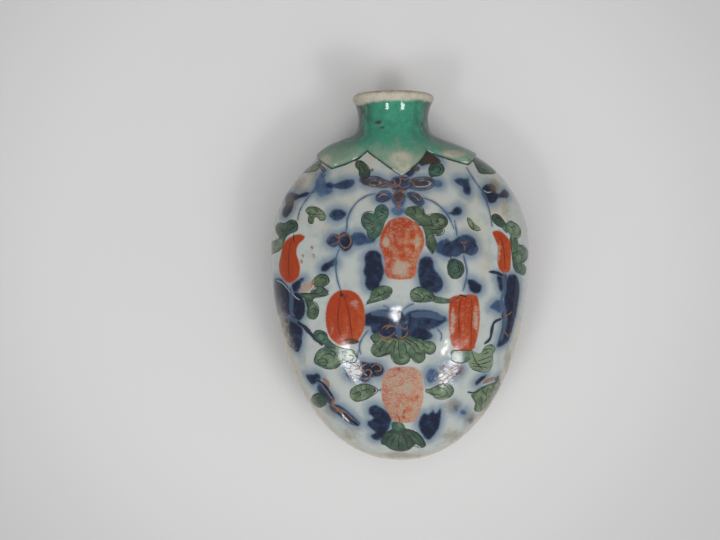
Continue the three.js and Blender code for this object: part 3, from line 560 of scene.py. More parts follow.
# Soft patches: field, place, radii, strength. Fields: bare enamel, brown stain, cream where
# the collar's green is thin, and grime.
PATCHES = [
    ("bare", 386, 242, 5, 9, .8), ("bare", 417, 241, 4.5, 10, .8),
    ("bare", 401, 269, 12, 10, 1.0), ("bare", 396, 224, 7, 6, .35),
    ("bare", 408, 386, 8, 13, 1.0), ("bare", 393, 405, 5, 6, .4),
    ("bare", 355, 305, 6, 6, .55), ("bare", 331, 331, 5, 7, .35),
    ("bare", 476, 318, 4, 16, .7), ("bare", 452.5, 322, 3, 18, .75),
    ("bare", 499, 252, 3, 13, .7), ("bare", 466, 343, 6, 5, .4),
    ("cream", 401, 159, 14, 10, .95), ("cream", 404, 166, 8, 7, .95),
    ("cream", 325.5, 160, 8, 8, .9), ("cream", 455, 153.5, 15, 5, 1.0),
    ("cream", 345, 150, 10, 5, .35), ("cream", 436, 143, 8, 5, .3),
    ("cream", 300, 187, 14, 16, .9), ("cream", 496, 200, 14, 22, .9),
    ("cream", 345, 205, 18, 10, .5),
    ("cream", 470, 222, 12, 22, .6), ("cream", 325, 245, 10, 16, .6),
    ("cream", 484, 265, 8, 24, .5),
    ("cream", 437, 232, 10, 30, .3),
    ("brown", 351, 341.5, 8, 3.4, .9), ("brown", 345.5, 297, 5, 5, .45),
    ("brown", 374, 182, 15, 6, .5), ("brown", 421, 182, 14, 6, .5),
    ("brown", 384, 196, 9, 6, .42), ("brown", 415, 197, 9, 6, .42), ("brown", 398, 197, 9, 9, .5),
    ("brown", 429, 159.5, 8, 5, .7), ("brown", 416, 168.6, 4.5, 3.6, .8),
    ("brown", 378.5, 122.5, 4.5, 3, .6), ("brown", 383, 127.5, 6.5, 2.2, .5),
    ("brown", 422, 124, 2.2, 3.4, .55), ("brown", 362.5, 112.5, 2, 3, .7),
    ("brown", 434, 135, 4, 5, .6), ("brown", 357, 133, 3, 5, .5),
    ("brown", 372, 170, 3, 3, .5), ("brown", 470, 160, 3.4, 3, .4),
    ("grime", 299, 184, 9, 10, 1.0), ("grime", 313, 173, 9, 5, .7),
    ("grime", 495, 186, 9, 9, 1.0), ("grime", 290, 200, 6, 12, .8),
    ("grime", 505, 208, 7, 12, .7), ("grime", 296, 205, 6, 8, .5),
    ("grime", 330, 410, 12, 16, .6), ("grime", 350, 434, 16, 10, .7),
    ("grime", 400, 455, 24, 5, .9), ("grime", 452, 436, 16, 10, .8),
    ("grime", 487, 408, 9, 14, .8), ("grime", 508, 360, 6, 22, .8),
    ("grime", 302, 362, 6, 16, .5), ("grime", 453, 405, 10, 9, .95), ("grime", 470, 418, 9, 8, .9),
    ("grime", 358, 262, 5, 8, .3), ("grime", 424, 372, 8, 8, .35),
    ("grime", 380, 372, 8, 8, .3), ("grime", 443, 300, 8, 6, .3),
]

# The stage, in m. Lamps have a name, a way and a width.
LAMP_AWAY, TOP_AWAY = 0.7, 0.75
PANEL_WAY, PANEL_SIZE, TOP_SIZE = (0.42, -0.32, 0.83), (0.4, 0.5), (0.5, 0.5)
# The two lamps that the neck mirrors.
KEYS = [("key_left", (-0.38, -0.42, 0.81), 0.14), ("key_right", (0.42, -0.45, 0.79), 0.17)]
KEY_LENGTH = 0.1
NECK_FRONT = (0, 0.031, 0.017)
FLOOR_SIZE, FLOOR_DROP = 6, 0.02 * MM
# The paper's painted falloff of light: lightest round a middle point, darker between two
# distances.
PAPER_MIDDLE = (-0.012, 0.012, 0.0)  # where the paper is lightest
PAPER_FADE, PAPER_DIM = (0.05, 0.105), 0.8  # it darkens between two distances

# Where the glaze mirrors a small lamp: the view pixel, and the lamp's width and height in m.
GLINTS = [
    (395, 316, 0.026, 0.015), (444, 345.5, 0.03, 0.02), (345, 418, 0.05, 0.024),
    (472, 416, 0.02, 0.026),
]


# ---------------------------------------------------------------- the bottle's surface

EYE = np.array([-7.69, 1.44, 252.25])  # mm
FOCAL = 1248.0  # view pixels


def signed_distance(points, outline):
    """The distance from each point to the outline's edge, positive inside it."""
    ahead = np.roll(outline, -1, axis=0)
    side = ahead - outline
    gap = points[:, None] - outline[None]
    share = np.clip((gap * side).sum(2) / np.maximum((side * side).sum(1), 1e-9), 0, 1)
    away = np.linalg.norm(gap - share[..., None] * side, axis=2).min(1)
    above = outline[:, 1] > points[:, 1:]
    crosses = above != (ahead[:, 1] > points[:, 1:])
    rise = np.where(np.abs(side[:, 1]) < 1e-9, 1e-9, side[:, 1])
    at = outline[:, 0] + (points[:, 1:] - outline[:, 1]) * side[:, 0] / rise
    inside = (crosses & (points[:, :1] < at)).sum(1) % 2 == 1
    return np.where(inside, away, -away)


def seen_at(tree, x, y):
    """The point that a view pixel shows, or the nearest to it, and the surface's direction."""
    way = Vector(((x - VIEW_WIDTH / 2) / FOCAL, (VIEW_HEIGHT / 2 - y) / FOCAL, -1))
    place, normal, _, _ = tree.ray_cast(Vector(EYE), way.normalized())
    if place is None:
        drop = EYE[2] - AXIS_Z
        place, normal, _, _ = tree.find_nearest(Vector(EYE) + way * drop)
    return place, normal


def about_neck(at):
    """Each point's turn about the leaning axis of the neck, and its distance from it."""
    rise = np.clip((at[:, 1] - LEAN_FROM) / (LEAN_TO - LEAN_FROM), 0, 1)
    across = at[:, 0] + ASIDE * rise * rise * (3 - 2 * rise)
    up = at[:, 2] - AXIS_Z
    return np.arctan2(across, up), np.hypot(across, up)


class Canvas:
    """The bottle's mesh in mm, and what is painted on each vertex and each face corner."""

    def __init__(self, mesh):
        self.mesh = mesh
        count = len(mesh.vertices)
        self.at = np.empty(count * 3, np.float32)
        mesh.vertices.foreach_get("co", self.at)
        self.at = self.at.reshape(-1, 3).astype(float) / MM
        self.facing = np.empty(count * 3, np.float32)
        mesh.vertices.foreach_get("normal", self.facing)
        self.facing = self.facing.reshape(-1, 3).astype(float)
        faces = len(mesh.polygons)
        self.total = np.empty(faces, np.int32)
        mesh.polygons.foreach_get("loop_total", self.total)
        self.corner = np.empty(len(mesh.loops), np.int32)
        mesh.loops.foreach_get("vertex_index", self.corner)
        self.face_of = np.repeat(np.arange(faces), self.total)
        starts = np.concatenate([[0], np.cumsum(self.total)[:-1]])
        self.middle = np.add.reduceat(self.at[self.corner], starts, axis=0) / self.total[:, None]
        self.tree = BVHTree.FromPolygons(
            [Vector(p) for p in self.at], [tuple(p.vertices) for p in mesh.polygons])
        self.inside = self.find_inside()
        self.paint = np.full((count, 3), -FAR)
        self.tones = np.zeros((count, 3))
        self.fruit_at = np.zeros((count, 3))
        self.wear = np.zeros((count, 3))
        self.grime = np.zeros(count)
        self.form = np.full((count, 3), UNSET)
        self.near = np.full((faces, 2), UNSET)
        self.owner = np.full((faces, 2), -1)
        self.strokes = []

    def find_inside(self):
        """Which vertices belong to the cavity and the bore."""
        heart = np.zeros_like(self.at)
        heart[:, 1] = np.clip(self.at[:, 1], -12, None)
        low = heart[:, 1] < 20
        heart[low, 1] = np.clip(heart[low, 1], -12, 0)
        heart[:, 0] = np.interp(self.at[:, 1], [LEAN_FROM, LEAN_TO], [0, -ASIDE])
        heart[:, 2] = AXIS_Z
        return ((self.at - heart) * self.facing).sum(1) < -0.02

    def front(self, x, y):
        """The point of the bottle that a view pixel shows, and the surface's direction."""
        place, normal = seen_at(self.tree, x, y)
        return np.array(place), np.array(normal)

    def back(self, x, y):
        """The point straight across the bottle from a view pixel, turned half round."""
        place, _ = self.front(x, y)
        over = Vector((-place[0], place[1], 2 * AXIS_Z - place[2]))
        place, normal, _, _ = self.tree.find_nearest(over)
        return np.array(place), np.array(normal)

    def lay(self, points, put):
        """A drawn outline on the surface: its points, and the plane that touches its middle."""
        placed = [put(x, y) for x, y in points]
        solid = np.array([p for p, _ in placed])
        normal = np.mean([n for _, n in placed], axis=0)
        normal /= np.linalg.norm(normal)
        centre = solid.mean(0)
        across = np.array([1.0, 0, 0]) if put == self.front else np.array([-1.0, 0, 0])
        across = across - normal * float(across @ normal)
        if np.linalg.norm(across) < 0.2:
            across = np.array([0, 0, -math.copysign(1, normal[0])])
            across = across - normal * float(across @ normal)
        across /= np.linalg.norm(across)
        along = np.cross(normal, across)
        flat = np.stack([(solid - centre) @ across, (solid - centre) @ along], 1)
        reach = np.linalg.norm(solid - centre, axis=1).max() + FAR
        near = np.flatnonzero(
            (np.linalg.norm(self.at - centre, axis=1) < reach)
            & (self.facing @ normal > 0.15) & ~self.inside)
        local = np.stack([(self.at[near] - centre) @ across, (self.at[near] - centre) @ along], 1)
        return solid, flat, near, local

    def fill(self, layer, points, put, tones=(), fruit=None):
        """Paints an outline's inside on one layer: 0 leaf, 1 fruit, 2 blue."""
        _, flat, near, local = self.lay(points, put)
        depth = np.clip(signed_distance(local, flat), -FAR, FAR)
        wins = depth > self.paint[near, layer]
        won = near[wins]
        self.paint[won, layer] = depth[wins]
        for place, tone in tones:
            self.tones[won, place] = tone
        if fruit is not None:
            half = (flat.max(0) - flat.min(0)) / 2
            centre = (flat.max(0) + flat.min(0)) / 2
            self.fruit_at[won, :2] = ((local - centre) / half)[wins]
            self.fruit_at[won, 2] = fruit

    def stroke(self, kind, half, points, put):
        """A brush line; its width swells in the middle and thins towards its ends."""
        solid = np.array([put(x, y)[0] for x, y in points])
        keep = np.concatenate([[True], np.linalg.norm(np.diff(solid, axis=0), axis=1) > 0.02])
        solid = solid[keep]
        if len(solid) < 2:
            return
        share = np.linspace(0, 1, len(solid))
        swell = 0.62 + 0.38 * np.sin(math.pi * share)
        wander = 1 + 0.18 * np.sin(share * 17 + len(self.strokes) * 1.7)
        self.strokes.append((kind, half * swell * wander, solid))

    def to_line(self, points, solid):
        """For each point its nearest segment of a line, the share along it and the gap."""
        start, side = solid[:-1], np.diff(solid, axis=0)
        length2 = np.maximum((side * side).sum(1), 1e-9)
        gap = points[:, None] - start[None]
        raw = (gap * side).sum(2) / length2
        share = np.clip(raw, 0, 1)
        off = gap - share[..., None] * side
        away = np.linalg.norm(off, axis=2)
        best = away.argmin(1)
        rows = np.arange(len(points))
        return best, raw[rows, best], off[rows, best], away[rows, best], side[best]

    def settle_strokes(self):
        """Gives every face its two nearest lines, then measures them at its corners."""
        for index, (_, half, solid) in enumerate(self.strokes):
            low, high = solid.min(0) - 0.9, solid.max(0) + 0.9
            near = np.flatnonzero(((self.middle > low) & (self.middle < high)).all(1))
            if not len(near):
                continue
            away = self.to_line(self.middle[near], solid)[3] - half.max()
            close = away < 0.6
            near, away = near[close], away[close]
            first = away < self.near[near, 0]
            moved = near[first]
            self.near[moved, 1], self.owner[moved, 1] = self.near[moved, 0], self.owner[moved, 0]
            self.near[moved, 0], self.owner[moved, 0] = away[first], index
            rest, left = near[~first], away[~first]
            second = left < self.near[rest, 1]
            self.near[rest[second], 1], self.owner[rest[second], 1] = left[second], index
        lines = np.zeros((2, len(self.corner), 3))
        lines[:, :, 0] = UNSET
        for slot in range(2):
            owner = self.owner[self.face_of, slot]
            order = np.argsort(owner, kind="stable")
            ends = np.searchsorted(owner[order], np.arange(len(self.strokes) + 1))
            for index, (kind, half, solid) in enumerate(self.strokes):
                loops = order[ends[index]:ends[index + 1]]
                if not len(loops):
                    continue
                vertex = self.corner[loops]
                best, raw, off, away, side = self.to_line(self.at[vertex], solid)
                turn = np.cross(self.facing[vertex], side)
                sign = np.where((turn * off).sum(1) < 0, -1.0, 1.0)
                length = np.linalg.norm(side, axis=1)
                over = np.where(best == 0, np.maximum(-raw, 0), 0) \
                    + np.where(best == len(solid) - 2, np.maximum(raw - 1, 0), 0)
                over *= length
                square = np.sqrt(np.maximum(away ** 2 - over ** 2, 0))
                width = half[best] + (half[best + 1] - half[best]) * np.clip(raw, 0, 1)
                lines[slot, loops, 0] = sign * square
                lines[slot, loops, 1] = width - over * 0.8
                lines[slot, loops, 2] = kind
        return lines

    def keep(self, name, values, domain="POINT"):
        """Stores values on the mesh under a name that the material reads."""
        if values.ndim == 1:
            made = self.mesh.attributes.new(name, "FLOAT", domain)
            made.data.foreach_set("value", values.astype(np.float32))
        else:
            made = self.mesh.attributes.new(name, "FLOAT_VECTOR", domain)
            made.data.foreach_set("vector", values.astype(np.float32).ravel())


def deselect():
    for chosen in bpy.context.selected_objects:
        chosen.select_set(False)


def take(piece):
    """Selects one object alone and makes it active."""
    deselect()
    piece.select_set(True)
    bpy.context.view_layer.objects.active = piece


def read(items, name, width, kind=np.float32):
    values = np.empty(len(items) * width, kind)
    items.foreach_get(name, values)
    return values.reshape(-1, width) if width > 1 else values


class FormSettings(bpy.types.PropertyGroup):
    smoothing: IntProperty(
        name="Smoothing", description="Subdivision levels", default=2, min=0, max=3)
    unevenness: FloatProperty(
        name="Unevenness", description="How far the hand-made surface wanders",
        default=0.00012, unit="LENGTH")
    unevenness_size: FloatProperty(
        name="Unevenness size", description="Size of one swell or hollow",
        default=0.0065, unit="LENGTH")
    flare: FloatProperty(
        name="Flare", description="How far the neck's front leans out below the rim",
        default=0.0005, unit="LENGTH")
    crisp_angle: FloatProperty(
        name="Crisp angle", description="Edges sharper than this stay crisp",
        default=math.radians(50), subtype="ANGLE")


class BOTTLE_OT_vessel(bpy.types.Operator):
    """Smooth a copy of the CAD bottle, keeping the lappets' edges crisp"""
    bl_idname = "bottle.vessel"
    bl_label = "Shape the bottle"

    def execute(self, context):
        form = context.scene.bottle_form
        piece = bpy.data.objects.new(PIECE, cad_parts["bottle"].data.copy())
        context.collection.objects.link(piece)
        piece.data.materials.clear()
        take(piece)
        bpy.ops.object.mode_set(mode="EDIT")
        bpy.ops.mesh.select_all(action="SELECT")
        bpy.ops.mesh.remove_doubles(threshold=WELD)
        bpy.ops.mesh.tris_convert_to_quads(
            face_threshold=PAIR_ANGLE, shape_threshold=PAIR_ANGLE)
        bpy.ops.mesh.select_mode(type="EDGE")
        bpy.ops.mesh.select_all(action="DESELECT")
        bpy.ops.mesh.edges_select_sharp(sharpness=form.crisp_angle)
        bpy.ops.object.mode_set(mode="OBJECT")
        mesh = piece.data
        at = read(mesh.vertices, "co", 3) / MM
        ends = read(mesh.edges, "vertices", 2, np.int32)
        chosen = read(mesh.edges, "select", 1, bool)
        middle = at[ends].mean(1)
        ring = chosen & (middle[:, 1] > 10) & (middle[:, 1] < 25)
        crease = mesh.attributes.new("crease_edge", "FLOAT", "EDGE")
        crease.data.foreach_set("value", ring.astype(np.float32))
        rim = at[np.unique(ends[ring])]
        rim = rim[about_neck(rim)[1] > BORE_REACH]
        if len(rim) < 40:
            raise RuntimeError(f"the lappets' edge was not found: {len(rim)} points")
        piece["edge"] = [float(v) for v in rim.ravel()]
        smooth = piece.modifiers.new("smooth", "SUBSURF")
        smooth.levels = smooth.render_levels = form.smoothing
        bpy.ops.object.modifier_apply(modifier=smooth.name)
        self.flare_neck(piece.data, form.flare / MM)
        self.roughen(piece, form)
        bpy.ops.object.shade_smooth_by_angle(angle=form.crisp_angle)
        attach(piece, "root")
        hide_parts("bottle")
        return {"FINISHED"}

    def flare_neck(self, mesh, flare):
        """Leans the neck's front out towards the rim; its sides keep their outline."""
        canvas = Canvas(mesh)
        turn, away = about_neck(canvas.at)
        rise = np.clip((canvas.at[:, 1] - FLARE_FROM) / FLARE_OVER, 0, 1)
        out = flare * rise * rise * (3 - 2 * rise) * np.clip(np.cos(turn), 0, 1) ** 2
        out *= np.clip((away - FLARE_SKIN) / FLARE_FADE, 0, 1) * ~canvas.inside
        canvas.at[:, 0] += out * np.sin(turn)
        canvas.at[:, 2] += out * np.cos(turn)
        mesh.vertices.foreach_set("co", (canvas.at * MM).astype(np.float32).ravel())
        mesh.update()

    def roughen(self, piece, form):
        """Unevenness: less on the neck, none on the rim, the back's flat and the inside."""
        canvas = Canvas(piece.data)
        at = canvas.at
        loose = np.clip((24 - at[:, 1]) / 4, 0.25, 1) * np.clip((34.2 - at[:, 1]) / 2, 0, 1)
        loose *= np.clip(at[:, 2] / 1.5 - 0.1, 0, 1) * ~canvas.inside
        group = piece.vertex_groups.new(name="uneven")
        for step in range(1, 11):
            members = np.flatnonzero(np.round(loose * 10) == step)
            if len(members):
                group.add(members.tolist(), step / 10, "REPLACE")
        clouds = bpy.data.textures.new("uneven", "CLOUDS")
        clouds.noise_scale = form.unevenness_size
        clouds.noise_depth = 2
        push = piece.modifiers.new("uneven", "DISPLACE")
        push.texture = clouds
        push.texture_coords = "LOCAL"
        push.strength = form.unevenness
        push.mid_level = 0.62
        push.vertex_group = group.name
        bpy.ops.object.modifier_apply(modifier=push.name)
        piece.vertex_groups.clear()


class BOTTLE_OT_drawing(bpy.types.Operator):
    """Lay the painted drawing on the bottle, front and back"""
    bl_idname = "bottle.drawing"
    bl_label = "Draw the painting"

    def execute(self, context):
        piece = bpy.data.objects[PIECE]
        canvas = Canvas(piece.data)
        for put in (canvas.back, canvas.front):
            self.draw_all(canvas, put)
        for field, x, y, rx, ry, strength in PATCHES:
            self.patch(canvas, field, x, y, rx, ry, strength)
        self.collar(canvas, np.array(piece["edge"]).reshape(-1, 3))
        del piece["edge"]
        canvas.form[:, 1] = canvas.inside
        lines = canvas.settle_strokes()
        for name in ("paint", "tones", "fruit_at", "wear", "grime", "form"):
            canvas.keep(name, getattr(canvas, name))
        canvas.keep("line_a", lines[0], "CORNER")
        canvas.keep("line_b", lines[1], "CORNER")
        return {"FINISHED"}

    def draw_all(self, canvas, put):
        """Lays the whole drawing on one side of the bottle."""
        for depth, shapes in WASHES:
            for shape in shapes:
                canvas.fill(2, blob(*shape), put, [(2, depth)])
        for hue, depth, fills, lines in LEAVES:
            for shape in fills:
                canvas.fill(0, blob(*shape), put, [(0, hue), (1, depth)])
            for line in lines:
                canvas.stroke(INK, LEAF_LINE, curve(line), put)
        for number, (pale, shape, ribs) in enumerate(FRUITS):
            canvas.fill(1, blob(*shape), put, fruit=1 + pale + number)
            for rib in ribs:
                canvas.stroke(RIB, RIB_LINE, curve(rib), put)
        for kind, half, runs in LINES:
            for run in runs:
                canvas.stroke(kind, half, curve(run), put)

    def patch(self, canvas, field, x, y, rx, ry, strength):
        """A soft oval of wear, stain or dirt round a view pixel, on the front alone."""
        scale = (EYE[2] - 20) / FOCAL
        centre, _ = canvas.front(x, y)
        gap = (canvas.at - centre) / (np.array([rx, ry, (rx + ry) / 2]) * scale)
        gap[:, 2] *= 0.5
        soft = strength * np.clip(1.35 - np.linalg.norm(gap, axis=1), 0, 1)
        soft[canvas.inside | (canvas.facing[:, 2] < -0.2)] = 0
        if field == "grime":
            canvas.grime = np.maximum(canvas.grime, soft)
        else:
            place = ("bare", "brown", "cream").index(field)
            canvas.wear[:, place] = np.maximum(canvas.wear[:, place], soft)

    def collar(self, canvas, ring):
        """Fills form: the distance to the lappets' edge, positive on the collar, and how far
        the surface faces up or down. Its middle value tells the cavity from the outside."""
        turn = about_neck(ring)[0]
        order = np.lexsort((ring[:, 1], turn.round(2)))
        turn, ring = turn[order], ring[order]
        lowest = np.concatenate([[True], np.diff(turn) > 0.01])
        turn, ring = turn[lowest], ring[lowest]
        loop = np.concatenate([ring, ring[:1]])
        high = np.flatnonzero((canvas.at[:, 1] > 10) & (canvas.at[:, 1] < 31) & ~canvas.inside)
        away = canvas.to_line(canvas.at[high], loop)[3]
        edge = np.interp(about_neck(canvas.at[high])[0], turn, ring[:, 1], period=2 * math.pi)
        side = np.where(canvas.at[high, 1] > edge, 1.0, -1.0)
        canvas.form[:, 0] = np.where(canvas.at[:, 1] > 20, UNSET, -UNSET)
        canvas.form[high, 0] = np.clip(side * away, -UNSET, UNSET)
        canvas.form[:, 2] = np.abs(canvas.facing[:, 2])


# ---------------------------------------------------------------- the glaze

GLAZE_IOR = 1.56
NECK_WAVES = 0.11  # mm, the ripple of the neck's thick glaze, in the bump alone


class Shade:
    """A node's socket. Sums on it add the Math nodes that work them out."""

    def __init__(self, socket):
        self.socket = socket
        self.tree = socket.id_data

    def node(self, kind, settings, inputs, output=0):
        return add_node(self.tree, kind, settings, inputs, output)

    def math(self, operation, *values, clamp=False):
        return self.node("ShaderNodeMath", {"operation": operation, "use_clamp": clamp},
                         dict(enumerate(values)))

    def __add__(self, other):
        return self.math("ADD", self, other)

    def __radd__(self, other):
        return self.math("ADD", other, self)

    def __sub__(self, other):
        return self.math("SUBTRACT", self, other)

    def __rsub__(self, other):
        return self.math("SUBTRACT", other, self)

    def __mul__(self, other):
        return self.math("MULTIPLY", self, other)

    def __rmul__(self, other):
        return self.math("MULTIPLY", other, self)

    def __truediv__(self, other):
        return self.math("DIVIDE", self, other)

    def __pow__(self, other):
        return self.math("POWER", self, other)

    def __neg__(self):
        return self.math("MULTIPLY", self, -1.0)

    def __abs__(self):
        return self.math("ABSOLUTE", self)

    def over(self, other):
        """The greater of two values."""
        return self.math("MAXIMUM", self, other)

    def under(self, other):
        return self.math("MINIMUM", self, other)

    def clip(self):
        return self.math("ADD", self, 0.0, clamp=True)

    def step(self, start, end):
        """0 below the start and 1 above the end, eased between them."""
        return self.node("ShaderNodeMapRange", {"interpolation_type": "SMOOTHSTEP"},
                         {0: self, 1: start, 2: end, 3: 0.0, 4: 1.0})

    def between(self, low, high):
        """1 where the value lies between two bounds."""
        return self.math("GREATER_THAN", self, low) * self.math("LESS_THAN", self, high)

    def mix(self, a, b):
        """A colour between two others, by this value."""
        return self.node("ShaderNodeMix", {"data_type": "RGBA"}, {0: self, 6: a, 7: b}, 2)

    def times(self, factor):
        """A vector or colour times a number or another of its kind."""
        if isinstance(factor, (int, float)):
            factor = (factor,) * 3
        return self.node("ShaderNodeVectorMath", {"operation": "MULTIPLY"}, {0: self, 1: factor})

    def parts(self):
        return [self.node("ShaderNodeSeparateXYZ", {}, {0: self}, k) for k in range(3)]

    def noise(self, scale, detail=2.0, rough=0.5, twist=0.0):
        """Noise at these coordinates, mostly between 0.3 and 0.7."""
        return self.node("ShaderNodeTexNoise", {"noise_dimensions": "3D"},
                         {"Vector": self, "Scale": scale, "Detail": detail,
                          "Roughness": rough, "Distortion": twist})

    def ramp(self, *stops):
        """A colour by this value; each stop is a place and a colour."""
        return self.node("ShaderNodeValToRGB", {"stops": stops}, {0: self})


def add_node(tree, kind, settings, inputs, output=0):
    """Adds a node: its settings first, then the values or links of its sockets."""
    made = tree.nodes.new(kind)
    for name, value in settings.items():
        if name == "stops":
            elements = made.color_ramp.elements
            for place, _ in value[2:]:
                elements.new(place)
            for stop, (place, colour_) in zip(elements, value):
                stop.position, stop.color = place, colour_
        else:
            setattr(made, name, value)
    for key, value in inputs.items():
        if isinstance(value, Shade):
            tree.links.new(value.socket, made.inputs[key])
        else:
            made.inputs[key].default_value = value
    return Shade(made.outputs[output])


def srgb(red, green, blue):
    """A linear colour from 0-255 screen values."""
    linear = [((c / 255 + 0.055) / 1.055) ** 2.4 if c > 10 else c / 255 / 12.92
              for c in (red, green, blue)]
    return (*linear, 1.0)


def colour(name, description, value):
    return FloatVectorProperty(name=name, description=description, subtype="COLOR", size=4,
                               min=0, max=1, default=srgb(*value))


class GlazeSettings(bpy.types.PropertyGroup):
    ground: colour("Ground", "The bluish white under the painting", (178, 184, 180))
    ground_warm: colour("Warm ground", "The ground where the glaze is thin", (181, 175, 157))
    grime: colour("Grime", "Brown dirt in the pores of the glaze", (120, 104, 80))
    blue_pale: colour("Pale blue", "Thin cobalt wash", (100, 122, 142))
    blue: colour("Blue", "Cobalt wash", (58, 80, 112))
    blue_deep: colour("Navy", "Pooled cobalt", (18, 27, 50))
    teal: colour("Teal", "Blue-green enamel", (36, 84, 70))
    olive: colour("Olive", "Yellow-green enamel", (70, 84, 48))
    leaf_dark: colour("Dark leaf", "Pooled green enamel", (30, 52, 40))
    leaf_pale: colour("Pale leaf", "Thin green enamel", (112, 130, 100))
    red: colour("Iron red", "Deep iron red", (160, 54, 12))
    orange: colour("Orange", "Thin iron red", (184, 98, 50))
    rubbed: colour("Rubbed", "Iron red almost worn off", (166, 141, 117))
    ink: colour("Ink", "Dark drawing lines", (30, 32, 32))
    gold: colour("Gold", "Worn gilding", (136, 92, 60))
    brown: colour("Brown", "Brown stains and lines", (62, 46, 38))
    collar: colour("Collar", "Green glaze of the neck and collar", (62, 146, 120))
    collar_dark: colour("Dark collar", "Green glaze where it pools", (38, 104, 84))
    collar_pale: colour("Pale collar", "Green glaze where it runs thin", (156, 162, 142))
    bisque: colour("Bisque", "The unglazed rim", (196, 188, 172))
    roughness: FloatProperty(name="Roughness", description="Roughness of the clear glaze",
                             default=0.065, min=0, max=1)
    relief: FloatProperty(name="Relief", description="Height of enamel over the glaze",
                          default=0.05, min=0)


